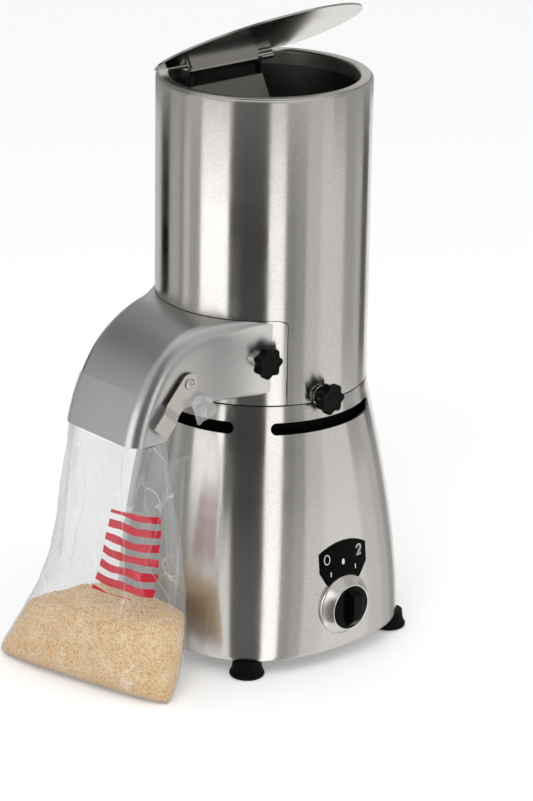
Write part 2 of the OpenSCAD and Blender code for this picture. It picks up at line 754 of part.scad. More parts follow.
// Door panel with its bosses, and the brackets inside the tube that take the studs
boss_h = 8.3;
door_seat_y = -sqrt(tube_r * tube_r - door_knob_x * door_knob_x) - boss_h;
door_collar = 4.7;
door_reach = 18;
boss_r = stud_r + 4;
bracket_r_in = sieve_r + 1.4;
module mirror_far(far) {
    mirror([0, far ? 1 : 0, 0]) children();
}
module door_panel() {
    color("#bdbbb7") difference() {
        union() {
            intersection() {
                ring(tube_r, tube_in, seam_z + door_gap / 2, door_z);
                door_prism(0);
            }
            for (far = [false, true]) mirror_far(far) difference() {
                rod_y(boss_r, door_knob_x, door_knob_z, door_seat_y + 26, door_seat_y);
                translate([0, 0, seam_z]) cylinder(r = tube_r - 0.6, h = door_h);
            }
        }
        translate([-tube_r - 20, 0, 0]) rotate([90, 0, 90]) linear_extrude(60) hatch_shape();
        for (far = [false, true]) mirror_far(far)
            rod_y(stud_r + loose, door_knob_x, door_knob_z, door_seat_y + 36, door_seat_y - cut);
    }
}
hatch_half_w = chute_half_w + 8;
hatch_low = seam_z + 13;
hatch_high = door_z - 12;
module hatch_shape() {
    r = 8;
    translate([-hatch_half_w, hatch_low + r]) square([2 * hatch_half_w, hatch_high - hatch_low - 2 * r]);
    translate([-hatch_half_w + r, hatch_low]) square([2 * hatch_half_w - 2 * r, hatch_high - hatch_low]);
    for (s = [-1, 1]) for (z = [hatch_low + r, hatch_high - r])
        translate([s * (hatch_half_w - r), z]) circle(r = r);
}
module door_bracket(far) {
    color("#8e8d8b") mirror_far(far) difference() {
        union() {
            rotate([0, 0, -144]) rotate_extrude(angle = 38)
                translate([inset_r - 2.4, door_knob_z - 10]) square([2.4, 20]);
            intersection() {
                rod_y(stud_r + 3, door_knob_x, door_knob_z, door_seat_y + 36, -tube_r);
                ring(inset_r - 0.6, bracket_r_in, door_knob_z - 12, door_knob_z + 12);
            }
        }
        rod_y(stud_r + fit, door_knob_x, door_knob_z, door_seat_y + 41, -tube_r);
    }
}
module door_knob(far) {
    color("#141415") mirror_far(far)
        star_knob(door_knob_x, door_knob_z, door_seat_y - 0.1, door_collar, door_reach);
}

// Chute: sections between the upper and the lower profile, with hollow flanks
flank_x = -sqrt(pow(tube_r + flank_r, 2) - pow(chute_half_w + flank_r, 2));
chute_start = -tube_r * flank_x / -(tube_r + flank_r);
bend_1_x = 3 - tube_r;
bend_1_z = door_z - bend_1_r;
bend_1_end = [bend_1_x - bend_1_r * sin(bend_1_a), bend_1_z + bend_1_r * cos(bend_1_a)];
bend_2_c = bend_1_end + bend_2_r * [sin(bend_1_a), -cos(bend_1_a)];
bend_2_a = 90 - asin((mouth_z - bend_2_c[1]) / bend_2_r);
throat_x = 48 - tube_r;
heel_x = -tube_r - 32;
bend_steps = 7;
ledge_z = seam_z + 11;
top_arc = concat(
    [[throat_x, door_z], [(throat_x + bend_1_x) / 2, door_z]],
    [for (i = [0 : bend_steps]) let (a = bend_1_a * i / bend_steps)
        [bend_1_x - bend_1_r * sin(a), bend_1_z + bend_1_r * cos(a)]],
    [for (i = [1 : bend_steps]) let (a = bend_1_a + (bend_2_a - bend_1_a) * i / bend_steps)
        bend_2_c + bend_2_r * [-sin(a), cos(a)]]);
heel = [heel_x - 26.6, mouth_z];
low_n = len(top_arc) - 1;
function heel_arc(u) =
    u < 0.6 ? [throat_x + (heel_x - throat_x) * u / 0.6, ledge_z - 4 * u / 0.6]
    : let (a = 90 * (u - 0.6) / 0.4)
        [heel_x + (heel[0] - heel_x) * sin(a), mouth_z + (ledge_z - 4 - mouth_z) * cos(a)];
low_arc = [for (i = [0 : low_n]) heel_arc(i / low_n)];
function half_w(x) =
    x < flank_x ? chute_half_w
    : chute_half_w + flank_r - sqrt(flank_r * flank_r - pow(x - flank_x, 2));
// One section: four corners rounded by arcs, from the heel side round over the top
corner_steps = 6;
flank_steps = 4;
low_edge_r = 5;
function section(i, inward) =
    let (hi = top_arc[i], lo = low_arc[i], up = (hi - lo) / norm(hi - lo), len_up = norm(hi - lo),
        rt = chute_edge_r - inward, rl = low_edge_r - min(inward, 3),
        v_top = len_up - inward - rt, v_low = inward + rl,
        right_side = concat(
            [for (k = [1 : flank_steps]) [v_low + (v_top - v_low) * k / (flank_steps + 1), 0]],
            [for (k = [0 : corner_steps]) let (a = 90 * k / corner_steps)
                [v_top + rt * sin(a), rt * (1 - cos(a))]]),
        right_low = [for (k = [0 : corner_steps]) let (a = 90 * k / corner_steps)
            [v_low - rl * cos(a), rl * (1 - sin(a))]],
        half = concat(right_low, right_side), n = len(half),
        loop = concat([for (k = [0 : n - 1]) [half[k], -1]], [for (k = [n - 1 : -1 : 0]) [half[k], 1]]))
    [for (q = loop) let (p = lo + up * q[0][0]) [p[0], q[1] * (half_w(p[0]) - inward - q[0][1]), p[1]]];
module chute_solid(inward, first, last, extra) {
    rings = [for (i = [first : last]) section(i, inward)];
    end_dir = extra * [sin(bend_2_a - 90), 0, -cos(bend_2_a - 90)];
    tail = [for (p = rings[len(rings) - 1]) p + end_dir];
    skin(extra > 0 ? concat(rings, [tail]) : rings);
}
module chute() {
    color("#b4b3b0") difference() {
        chute_solid(0, 0, low_n, 0);
        chute_solid(chute_wall, 0, low_n, cut);
        translate([0, 0, seam_z - 10]) cylinder(r = tube_r + 0.3, h = door_h + 40, $fn = 360);
        for (far = [false, true]) mirror_far(far)
            rod_y(boss_r + 0.3, door_knob_x, door_knob_z, door_seat_y + 36, door_seat_y - 5);
        for (far = [false, true]) mirror_far(far)
            rod_y(clip_screw_r + 0.2, clip_x, clip_z, -40, -chute_half_w - 12);
    }
}

// Bag clips and their screws, on the chute's flanks
clip_screw_r = 2.5;
clip_wall_y = -half_w(clip_x);
clip_y = clip_wall_y - 2.8;
clip_head_y = clip_y - clip_t - 0.1;
module clip_screw(far) {
    color("#d0d0ce") mirror_far(far) {
        rod_y(clip_screw_r, clip_x, clip_z, clip_wall_y + 8, clip_head_y - eps);
        rod_y(clip_screw_r + 3, clip_x, clip_z, clip_y + 0.1, clip_wall_y - 1.5);
        rod_y(clip_screw_r + 3, clip_x, clip_z, clip_wall_y + chute_wall + 1.4, clip_wall_y + 6);
        translate([clip_x, clip_head_y, clip_z]) rotate([90, 0, 0]) difference() {
            rotate_extrude() polygon(concat(
                [[0, 0], [screw_head_r, 0]],
                [for (a = [0 : 15 : 90]) [screw_head_r * cos(a), 0.6 + 2.2 * sin(a)]]));
            for (a = [0, 90]) rotate([0, 0, a]) translate([-3.2, -0.5, 1.4]) cube([6.4, 1, 3]);
        }
    }
}
clip_leg = 31;
clip_step = 9;
clip_out = 3;
clip_tail = 18;
module bag_clip(far) {
    color("#c3c0b8") mirror_far(far) translate([clip_x, clip_y, clip_z]) rotate([0, 180 - clip_a, 0])
        difference() {
            union() {
                rotate([90, 0, 0]) cylinder(r = clip_w / 2, h = clip_t);
                translate([0, 0, -clip_w / 2]) linear_extrude(clip_w) polygon([
                    [0, 0], [0, -clip_t], [clip_leg, -clip_t], [clip_leg + clip_step, -clip_out - clip_t],
                    [clip_leg + clip_step + clip_tail, -clip_out - clip_t],
                    [clip_leg + clip_step + clip_tail, -clip_out], [clip_leg + clip_step, -clip_out],
                    [clip_leg, 0]]);
            }
            translate([0, cut, 0]) rotate([90, 0, 0]) cylinder(r = clip_screw_r + fit, h = clip_t + 2 * cut);
        }
}

// Bag: a thin closed shape by levels, each with its height, centre from the mouth, half sizes and turn
bag_levels = [
    [1, -42, 0, 9, 104, 14], [6, -41, 0, 20, 105, 14], [16, -36, 0, 31, 103, 14],
    [34, -26, 0, 39, 99, 13], [60, -15, -1, 43, 91, 11], [80, -8, 0, 42, 82, 9],
    [100, -3, 0, 40, 75, 8], [150, 1, 0, 37, 67, 4], [200, 2, 0, 33, 61, 2],
    [mouth_z - soft, 0, 0, 27.5, chute_half_w + 3, 0]
];
crumb_levels = [
    [2, -42, 0, 9, 104, 14], [6, -41, 0, 20, 105, 14], [16, -36, 0, 31, 103, 14],
    [34, -26, 0, 39, 99, 13], [60, -15, -1, 43, 91, 11], [70, -11, -3, 40, 83, 10],
    [76, -8, -9, 28, 69, 9], [79, -6, -16, 12, 48, 8]
];
bag_sides = 32;
squareness = 0.62;
function bulge(v) = sign(v) * pow(abs(v), squareness);
function bag_ring(level, inward) = [
    for (i = [0 : bag_sides - 1])
        let (a = 360 * i / bag_sides, t = level[5],
            x = (level[3] - inward) * bulge(cos(a)), y = (level[4] - inward) * bulge(sin(a)))
        [bag_x + level[1] + x * cos(t) - y * sin(t), level[2] + x * sin(t) + y * cos(t), level[0]]
];
function level_at(l, z) = [z, l[1], l[2], l[3], l[4], l[5]];
bag_top = bag_levels[len(bag_levels) - 1];
module bag() {
    color([0.85, 0.87, 0.88, 0.5]) difference() {
        skin([for (l = bag_levels) bag_ring(l, 0)]);
        skin(concat(
            [for (l = bag_levels)
                bag_ring(level_at(l, max(l[0], 1 + bag_wall)), l[0] > 1 ? bag_wall : bag_wall + 1)],
            [bag_ring(level_at(bag_top, bag_top[0] + cut), bag_wall)]));
    }
}
module crumbs() {
    color("#d9b98a") skin([
        for (l = crumb_levels)
            bag_ring(level_at(l, l[0] + bag_wall * (l[0] > 2 ? 0.5 : 1)),
                bag_wall + soft + (l[0] > 2 ? 0.4 : 2))]);
}
collar_gap = 0.35;
collar_t = 0.8;
collar_first = low_n - 3;
module bag_collar() {
    color([0.8, 0.82, 0.83, 0.5]) difference() {
        chute_solid(-collar_gap - collar_t, collar_first, low_n, 0);
        chute_solid(-collar_gap, collar_first - 1, low_n, cut);
    }
}

base_shell();
base_floor();
foot(foot_places[0]);  // foot_1
foot(foot_places[1]);  // foot_2
foot(foot_places[2]);  // foot_3
foot(foot_places[3]);  // foot_4
foot_bolts();
deck_plate();
spigot_ring();
vent_guard();
motor_can();
top_shield();
bottom_shield();
stator_core();
windings();
bearing_upper();
bearing_lower();
fan_cowl();
motor_bolts();
shaft_seal();
capacitor();
capacitor_clip();
terminal_block();
cable_gland();
gland_nut();
switch_body();
switch_bezel();
switch_plate();
hopper_tube();
top_ring();
rear_bridge();
hinge_rod();
hopper_funnel();
guard_plate();
sieve();
door_panel();
chute();
door_bracket(false);  // door_bracket_near
door_bracket(true);  // door_bracket_far
clip_screw(false);  // clip_screw_near
clip_screw(true);  // clip_screw_far
bag();
crumbs();
bag_collar();
housing_washer();
motor_shaft();
rotor_core();
cooling_fan();
rotor_disc();
knife_hub();
knife_bars();
lock_nut();
lid();
switch_knob();
door_knob(false);  // door_knob_near
door_knob(true);  // door_knob_far
housing_knob();
bag_clip(false);  // bag_clip_near
bag_clip(true);  // bag_clip_far
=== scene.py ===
import json
import math

import bmesh
import bpy
from mathutils import Matrix, Vector, noise


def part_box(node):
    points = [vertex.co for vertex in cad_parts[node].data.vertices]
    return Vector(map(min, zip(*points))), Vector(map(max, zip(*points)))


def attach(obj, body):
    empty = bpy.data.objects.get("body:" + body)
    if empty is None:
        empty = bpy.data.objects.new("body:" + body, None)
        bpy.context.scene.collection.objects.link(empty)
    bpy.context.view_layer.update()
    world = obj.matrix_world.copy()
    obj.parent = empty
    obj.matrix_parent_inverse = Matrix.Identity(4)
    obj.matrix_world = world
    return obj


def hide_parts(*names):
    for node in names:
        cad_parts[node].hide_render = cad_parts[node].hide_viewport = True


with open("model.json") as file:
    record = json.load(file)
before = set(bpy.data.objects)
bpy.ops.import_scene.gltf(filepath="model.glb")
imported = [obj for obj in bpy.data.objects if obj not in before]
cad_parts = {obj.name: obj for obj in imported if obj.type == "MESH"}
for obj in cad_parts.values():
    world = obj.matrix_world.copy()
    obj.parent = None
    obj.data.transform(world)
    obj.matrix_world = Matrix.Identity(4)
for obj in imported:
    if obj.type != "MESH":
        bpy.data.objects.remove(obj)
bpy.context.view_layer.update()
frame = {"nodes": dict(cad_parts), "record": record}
nodes = frame["nodes"]

MM = 0.001


# Places and sizes taken from the frame

def corner(node, side):
    """The lowest (0) or highest (1) corner of a node, in millimetres."""
    return Vector(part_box(node)[side]) / MM


shell_low = corner("base_shell", 0)
shell_high = corner("base_shell", 1)
tube_high = corner("hopper_tube", 1)
door_high = corner("door_panel", 1)
chute_low = corner("chute", 0)

BASE_Z = shell_low.z
SEAM_Z = shell_high.z
TUBE_R = tube_high.x
DOOR_Z = door_high.z
MOUTH_Z = chute_low.z


# Colour and material helpers

def linear(hex_colour):
    """An sRGB hex colour as linear RGBA."""
    parts = [int(hex_colour[i:i + 2], 16) / 255 for i in (1, 3, 5)]
    return [v / 12.92 if v <= 0.04045 else ((v + 0.055) / 1.055) ** 2.4 for v in parts] + [1.0]


def add(tree, kind, settings=None, links=None):
    """Adds a node, sets its properties or sockets, and links its inputs to other sockets."""
    node = tree.nodes.new(kind)
    for key, value in (settings or {}).items():
        if isinstance(key, int) or key in node.inputs:
            node.inputs[key].default_value = value
        else:
            setattr(node, key, value)
    for key, socket in (links or {}).items():
        tree.links.new(socket, node.inputs[key])
    return node


def start_material(name):
    """An empty material with its output node."""
    material = bpy.data.materials.new(name)
    material.use_nodes = True
    tree = material.node_tree
    tree.nodes.clear()
    return material, tree, add(tree, "ShaderNodeOutputMaterial")


def ramp_colours(ramp, stops):
    """Sets a colour ramp's stops from (place, hex colour) pairs."""
    elements = ramp.color_ramp.elements
    while len(elements) > 1:
        elements.remove(elements[-1])
    elements[0].position, elements[0].color = stops[0][0], linear(stops[0][1])
    for place, colour in stops[1:]:
        elements.new(place).color = linear(colour)


def brushed_stainless(name, light, dark, scratch_mm, roughness, stretch_axis, strength):
    """Belt-ground stainless sheet: fine scratches run one way and draw highlights out across them."""
    material, tree, output = start_material(name)
    place = add(tree, "ShaderNodeTexCoord")
    along = {"round": (0.15, 0.15, 1.0), "x": (0.04, 1.0, 1.0), "none": (1.0, 1.0, 1.0)}[stretch_axis]
    mapping = add(tree, "ShaderNodeMapping", {"Scale": along}, {"Vector": place.outputs["Object"]})
    scratches = add(tree, "ShaderNodeTexNoise",
                    {"Scale": 1 / (scratch_mm * MM), "Detail": 4.0, "Roughness": 0.6},
                    {"Vector": mapping.outputs[0]})
    clouds = add(tree, "ShaderNodeTexNoise", {"Scale": 18.0, "Detail": 2.0},
                 {"Vector": place.outputs["Object"]})
    tint = add(tree, "ShaderNodeValToRGB", None, {"Fac": scratches.outputs["Fac"]})
    ramp_colours(tint, [(0.3, dark), (0.7, light)])
    rough = add(tree, "ShaderNodeMapRange",
                {"From Min": 0.3, "From Max": 0.7, "To Min": roughness - 0.03, "To Max": roughness + 0.04},
                {"Value": clouds.outputs["Fac"]})
    bump = add(tree, "ShaderNodeBump", {"Strength": strength, "Distance": 0.00004},
               {"Height": scratches.outputs["Fac"]})
    steel = add(tree, "ShaderNodeBsdfPrincipled", {"Metallic": 1.0},
                {"Base Color": tint.outputs["Color"], "Roughness": rough.outputs[0],
                 "Normal": bump.outputs[0]})
    if stretch_axis == "round":
        tangent = add(tree, "ShaderNodeTangent", {"direction_type": "RADIAL", "axis": "Z"})
        steel.inputs["Anisotropic"].default_value = 0.85
        steel.inputs["Anisotropic Rotation"].default_value = 0.25
        tree.links.new(tangent.outputs[0], steel.inputs["Tangent"])
    tree.links.new(steel.outputs[0], output.inputs[0])
    return material


def plain_metal(name, colour, roughness, grit_mm=0.6, bump_strength=0.05):
    """A turned, drawn or rolled metal piece, with a faint grain."""
    material, tree, output = start_material(name)
    place = add(tree, "ShaderNodeTexCoord")
    grain = add(tree, "ShaderNodeTexNoise", {"Scale": 1 / (grit_mm * MM), "Detail": 3.0},
                {"Vector": place.outputs["Object"]})
    rough = add(tree, "ShaderNodeMapRange",
                {"From Min": 0.3, "From Max": 0.7, "To Min": roughness * 0.85, "To Max": roughness * 1.15},
                {"Value": grain.outputs["Fac"]})
    bump = add(tree, "ShaderNodeBump", {"Strength": bump_strength, "Distance": 0.00005},
               {"Height": grain.outputs["Fac"]})
    metal = add(tree, "ShaderNodeBsdfPrincipled", {"Base Color": linear(colour), "Metallic": 1.0},
                {"Roughness": rough.outputs[0], "Normal": bump.outputs[0]})
    tree.links.new(metal.outputs[0], output.inputs[0])
    return material


def moulded(name, colour, pale, roughness, grain_mm, bump_strength, specular=0.5):
    """Moulded plastic or rubber: even colour and fine spark-eroded grain, paler on its high spots."""
    material, tree, output = start_material(name)
    place = add(tree, "ShaderNodeTexCoord")
    grain = add(tree, "ShaderNodeTexNoise", {"Scale": 1 / (grain_mm * MM), "Detail": 4.0},
                {"Vector": place.outputs["Object"]})
    tint = add(tree, "ShaderNodeValToRGB", None, {"Fac": grain.outputs["Fac"]})
    ramp_colours(tint, [(0.35, colour), (0.75, pale)])
    bump = add(tree, "ShaderNodeBump", {"Strength": bump_strength, "Distance": 0.00008},
               {"Height": grain.outputs["Fac"]})
    body = add(tree, "ShaderNodeBsdfPrincipled", {"Roughness": roughness, "Specular IOR Level": specular},
               {"Base Color": tint.outputs["Color"], "Normal": bump.outputs[0]})
    tree.links.new(body.outputs[0], output.inputs[0])
    return material


def bread_crumb_heap(name):
    """Dry white bread crumbs, 1 to 3 mm: creamy grains with toasted crust specks, and painted shade in the
    gaps between them.
    """
    material, tree, output = start_material(name)
    place = add(tree, "ShaderNodeTexCoord")
    grain_mm = 1.7
    grains = add(tree, "ShaderNodeTexVoronoi", {"Scale": 1 / (grain_mm * MM), "Randomness": 1.0},
                 {"Vector": place.outputs["Object"]})
    fine = add(tree, "ShaderNodeTexNoise", {"Scale": 900.0, "Detail": 5.0},
               {"Vector": place.outputs["Object"]})
    patches = add(tree, "ShaderNodeTexNoise", {"Scale": 45.0, "Detail": 3.0},
                  {"Vector": place.outputs["Object"]})
    crumb = add(tree, "ShaderNodeValToRGB", None, {"Fac": grains.outputs["Color"]})
    ramp_colours(crumb, [(0.0, "#b9813f"), (0.1, "#e6bf85"), (0.35, "#f8dcac"), (0.7, "#ffe9c4"),
                         (1.0, "#fff3da")])
    # Painted shade: each grain darkens toward its edge, where the gaps between crumbs lie
    gap_shade = add(tree, "ShaderNodeValToRGB", None, {"Fac": grains.outputs["Distance"]})
    ramp_colours(gap_shade, [(0.45, "#ffffff"), (0.95, "#d8a865")])
    cloud = add(tree, "ShaderNodeValToRGB", None, {"Fac": patches.outputs["Fac"]})
    ramp_colours(cloud, [(0.35, "#f6dfb6"), (0.65, "#ffffff")])
    first = add(tree, "ShaderNodeMix", {"data_type": "RGBA", "blend_type": "MULTIPLY", "Factor": 0.8})
    tree.links.new(crumb.outputs["Color"], first.inputs[6])
    tree.links.new(gap_shade.outputs["Color"], first.inputs[7])
    second = add(tree, "ShaderNodeMix", {"data_type": "RGBA", "blend_type": "MULTIPLY", "Factor": 0.7})
    tree.links.new(first.outputs[2], second.inputs[6])
    tree.links.new(cloud.outputs["Color"], second.inputs[7])
    height = add(tree, "ShaderNodeMath", {"operation": "MULTIPLY_ADD", 1: 0.35},
                 {0: fine.outputs["Fac"], 2: grains.outputs["Distance"]})
    bump = add(tree, "ShaderNodeBump", {"Strength": 0.7, "Distance": 0.0012, "invert": True},
               {"Height": height.outputs[0]})
    crumbs = add(tree, "ShaderNodeBsdfPrincipled", {"Roughness": 0.9, "IOR": 1.45},
                 {"Base Color": second.outputs[2], "Normal": bump.outputs[0]})
    tree.links.new(crumbs.outputs[0], output.inputs[0])
    return material


def clear_film(name, printed):
    """Clear polythene film: almost no colour of its own and glossy, with painted highlights as white streaks
    along its creases.
    """
    material, tree, output = start_material(name)
    place = add(tree, "ShaderNodeTexCoord")
    crease_mm = 24
    drift = add(tree, "ShaderNodeTexNoise", {"Scale": 22.0, "Detail": 2.0},
                {"Vector": place.outputs["Object"]})
    wander = add(tree, "ShaderNodeVectorMath", {"operation": "SCALE", "Scale": 0.03},
                 {0: drift.outputs["Color"]})
    moved = add(tree, "ShaderNodeVectorMath", {"operation": "ADD"},
                {0: place.outputs["Object"], 1: wander.outputs[0]})
    long = add(tree, "ShaderNodeMapping", {"Scale": (1.0, 1.0, 0.4)}, {"Vector": moved.outputs[0]})
    facets = add(tree, "ShaderNodeTexVoronoi",
                 {"feature": "DISTANCE_TO_EDGE", "Scale": 1 / (crease_mm * MM)},
                 {"Vector": long.outputs[0]})
    line = add(tree, "ShaderNodeMapRange", {"From Min": 0.0, "From Max": 0.03, "To Min": 1.0, "To Max": 0.0},
               {"Value": facets.outputs["Distance"]})
    patches = add(tree, "ShaderNodeTexNoise", {"Scale": 30.0, "Detail": 3.0}, {"Vector": moved.outputs[0]})
    some = add(tree, "ShaderNodeMapRange",
               {"From Min": 0.48, "From Max": 0.62, "To Min": 0.0, "To Max": 1.0},
               {"Value": patches.outputs["Fac"]})
    # Painted highlight: along thin crease lines the film is made white and less clear
    crease = add(tree, "ShaderNodeMath", {"operation": "MULTIPLY"}, {0: line.outputs[0], 1: some.outputs[0]})
    edge = add(tree, "ShaderNodeLayerWeight", {"Blend": 0.35})
    body = add(tree, "ShaderNodeMapRange",
               {"From Min": 0.0, "From Max": 1.0, "To Min": 0.12, "To Max": 0.55},
               {"Value": edge.outputs["Facing"]})
    cover = add(tree, "ShaderNodeMath", {"operation": "MULTIPLY_ADD", 1: 0.18, "use_clamp": True},
                {0: crease.outputs[0], 2: body.outputs[0]})
    tone = add(tree, "ShaderNodeMix", {"data_type": "RGBA"}, {0: crease.outputs[0]})
    tone.inputs[6].default_value = linear("#bcc0c3")
    tone.inputs[7].default_value = linear("#ffffff")
    bump = add(tree, "ShaderNodeBump", {"Strength": 0.6, "Distance": 0.004},
               {"Height": facets.outputs["Distance"]})
    film = add(tree, "ShaderNodeBsdfPrincipled", {"Roughness": 0.1, "IOR": 1.5, "Specular IOR Level": 0.9},
               {"Base Color": tone.outputs[2], "Alpha": cover.outputs[0], "Normal": bump.outputs[0]})
    if printed:
        print_ink(tree, place, drift, tone, cover, film)
    tree.links.new(film.outputs[0], output.inputs[0])
    return material


# The printed field on the bag, in millimetres, and the share of its pitch that a band takes
STRIPE_LOW_Z = 101
STRIPE_HIGH_Z = 188
STRIPE_BACK_X = -192
STRIPE_NEAR_Y = -76
STRIPE_FAR_Y = -10
STRIPE_PITCH = 14.8
STRIPE_SHARE = 0.55
# How far the field's far side leans for each millimetre of height
STRIPE_LEAN = 0.19


def print_ink(tree, place, drift, tone, cover, film):
    """Plain red bands printed on the film, 8 mm wide and 14.8 mm apart; they wave with the film."""
    parts = add(tree, "ShaderNodeSeparateXYZ", None, {0: place.outputs["Object"]})
    waves = add(tree, "ShaderNodeMath", {"operation": "MULTIPLY_ADD", 1: 0.012},
                {0: drift.outputs["Fac"], 2: parts.outputs["Z"]})
    tilt = add(tree, "ShaderNodeMath", {"operation": "MULTIPLY_ADD", 1: -0.07},
               {0: parts.outputs["Y"], 2: waves.outputs[0]})
    steps = add(tree, "ShaderNodeMath", {"operation": "MULTIPLY", 1: 1 / (STRIPE_PITCH * MM)},
                {0: tilt.outputs[0]})
    phase = add(tree, "ShaderNodeMath", {"operation": "FRACT"}, {0: steps.outputs[0]})
    mask = add(tree, "ShaderNodeMath", {"operation": "LESS_THAN", 1: STRIPE_SHARE}, {0: phase.outputs[0]})
    # The printed field narrows upward on its far side
    lean = add(tree, "ShaderNodeMath", {"operation": "MULTIPLY_ADD", 1: STRIPE_LEAN},
               {0: parts.outputs["Z"], 2: parts.outputs["Y"]})
    limits = [(parts.outputs["Z"], "GREATER_THAN", STRIPE_LOW_Z),
              (parts.outputs["Z"], "LESS_THAN", STRIPE_HIGH_Z),
              (parts.outputs["X"], "LESS_THAN", STRIPE_BACK_X),
              (parts.outputs["Y"], "GREATER_THAN", STRIPE_NEAR_Y),
              (lean.outputs[0], "LESS_THAN", STRIPE_FAR_Y + STRIPE_LEAN * STRIPE_LOW_Z)]
    for value, test, limit in limits:
        inside = add(tree, "ShaderNodeMath", {"operation": test, 1: limit * MM}, {0: value})
        mask = add(tree, "ShaderNodeMath", {"operation": "MULTIPLY"},
                   {0: mask.outputs[0], 1: inside.outputs[0]})
    colour = add(tree, "ShaderNodeMix", {"data_type": "RGBA"}, {0: mask.outputs[0], 6: tone.outputs[2]})
    colour.inputs[7].default_value = linear("#c0142f")
    share = add(tree, "ShaderNodeMath", {"operation": "MULTIPLY", 1: 0.95}, {0: mask.outputs[0]})
    opaque = add(tree, "ShaderNodeMath", {"operation": "MAXIMUM"},
                 {0: cover.outputs[0], 1: share.outputs[0]})
    tree.links.new(colour.outputs[2], film.inputs["Base Color"])
    tree.links.new(opaque.outputs[0], film.inputs["Alpha"])


MATERIALS = {
    "brushed_shell": brushed_stainless("belt_ground_stainless", "#dddbd8", "#cbc9c6", 0.5, 0.2,
                                       "round", 0.12),
    "satin_ring": brushed_stainless("satin_stainless_ring", "#e2e0dd", "#d2d0cc", 0.5, 0.36, "round", 0.08),
    "mirror_lid": brushed_stainless("polished_stainless_lid", "#cfcdca", "#c2c0bc", 0.6, 0.16, "x", 0.05),
    "polished_chute": brushed_stainless("satin_stainless_chute", "#d4d3d2", "#c6c5c4", 0.8, 0.33,
                                        "none", 0.05),
    "bright_steel": plain_metal("zinc_plated_steel", "#d9d8d6", 0.18),
    # Painted shade: a darker copy of the stainless for the pieces inside the machine
    "inner_steel": plain_metal("darkened_stainless_inside", "#8e8c88", 0.35),
    "motor_paint": moulded("grey_motor_enamel", "#4a4e52", "#555a5e", 0.4, 0.5, 0.1),
    "copper_wire": plain_metal("varnished_copper_wire", "#a4602f", 0.3, 1.2, 0.3),
    "dark_sheet": moulded("black_lacquered_sheet", "#030303", "#060606", 0.7, 0.6, 0.05, 0.1),
    "black_rubber": moulded("black_nitrile_rubber", "#060606", "#0b0b0b", 0.6, 0.5, 0.12, 0.1),
    "black_plastic": moulded("black_phenolic_plastic", "#040404", "#080808", 0.3, 0.7, 0.05, 0.1),
    "legend_black": moulded("black_enamelled_plate", "#030303", "#060606", 0.4, 0.8, 0.02, 0.05),
    "bezel_metal": plain_metal("die_cast_zinc_bezel", "#e6e4e1", 0.24),
    "clip_steel": brushed_stainless("rolled_spring_steel", "#d6d2ca", "#c9c5bd", 0.7, 0.34, "none", 0.05),
    "can_metal": plain_metal("drawn_aluminium_can", "#c9cacb", 0.3),
    "block_plastic": moulded("white_polyamide_block", "#ddd8cc", "#e6e1d6", 0.45, 0.6, 0.05),
    "clear_film": clear_film("clear_polythene_film", False),
    "bread_crumbs": bread_crumb_heap("dry_bread_crumbs"),
}
PRINTED_FILM = clear_film("printed_polythene_film", True)


def folded_film(name, colour, cover, roughness):
    """The same film, gathered or creased: the steeper one looks along it, the less one sees through."""
    material, tree, output = start_material(name)
    place = add(tree, "ShaderNodeTexCoord")
    grain = add(tree, "ShaderNodeTexNoise", {"Scale": 160.0, "Detail": 3.0},
                {"Vector": place.outputs["Object"]})
    edge = add(tree, "ShaderNodeLayerWeight", {"Blend": 0.4})
    alpha = add(tree, "ShaderNodeMapRange", {"To Min": cover, "To Max": min(1.0, cover + 0.45)},
                {"Value": edge.outputs["Facing"]})
    bump = add(tree, "ShaderNodeBump", {"Strength": 0.5, "Distance": 0.002},
               {"Height": grain.outputs["Fac"]})
    film = add(tree, "ShaderNodeBsdfPrincipled",
               {"Base Color": linear(colour), "Roughness": roughness, "Specular IOR Level": 0.9},
               {"Alpha": alpha.outputs[0], "Normal": bump.outputs[0]})
    tree.links.new(film.outputs[0], output.inputs[0])
    return material


CREASED_FILM = folded_film("creased_polythene_film", "#dfe2e4", 0.1, 0.12)
THIN_FILM = folded_film("stretched_polythene_film", "#c9cccf", 0.06, 0.15)


def white_print(name):
    """White screen-printing ink on the black plate, slightly uneven in thickness."""
    return moulded(name, "#d9d9d6", "#ececea", 0.5, 0.4, 0.05)


WHITE_INK = white_print("white_screen_ink")


# Mesh helpers

def finished(mesh_name, mesh, body, slot, replaces=(), material=None, smooth_angle=35):
    """Makes a mesh a piece: names it, gives it its finish and lets it ride on its body."""
    piece = bpy.data.objects.new(mesh_name, mesh)
    bpy.context.scene.collection.objects.link(piece)
    mesh.materials.append(material or MATERIALS[slot])
    for face in mesh.polygons:
        face.use_smooth = True
    if smooth_angle:
        mesh.set_sharp_from_angle(angle=math.radians(smooth_angle))
    if replaces:
        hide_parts(*replaces)
    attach(piece, body)
    return piece


def sheet_mesh(name, rows, closed=True):
    """A skin of quads over rows of points in millimetres."""
    mesh = bpy.data.meshes.new(name)
    width = len(rows[0])
    points = [Vector(p) * MM for row in rows for p in row]
    faces = []
    for j in range(len(rows) - 1):
        for i in range(width if closed else width - 1):
            k = (i + 1) % width
            faces.append((j * width + i, j * width + k, (j + 1) * width + k, (j + 1) * width + i))
    mesh.from_pydata(points, [], faces)
    mesh.update()
    return mesh


def capped_mesh(name, rows):
    """A closed skin over rings of points, with a face over its first and its last ring."""
    mesh = sheet_mesh(name, rows)
    work = bmesh.new()
    work.from_mesh(mesh)
    work.verts.ensure_lookup_table()
    width = len(rows[0])
    work.faces.new(work.verts[:width])
    work.faces.new(list(reversed(work.verts[-width:])))
    bmesh.ops.recalc_face_normals(work, faces=work.faces)
    work.to_mesh(mesh)
    work.free()
    return mesh


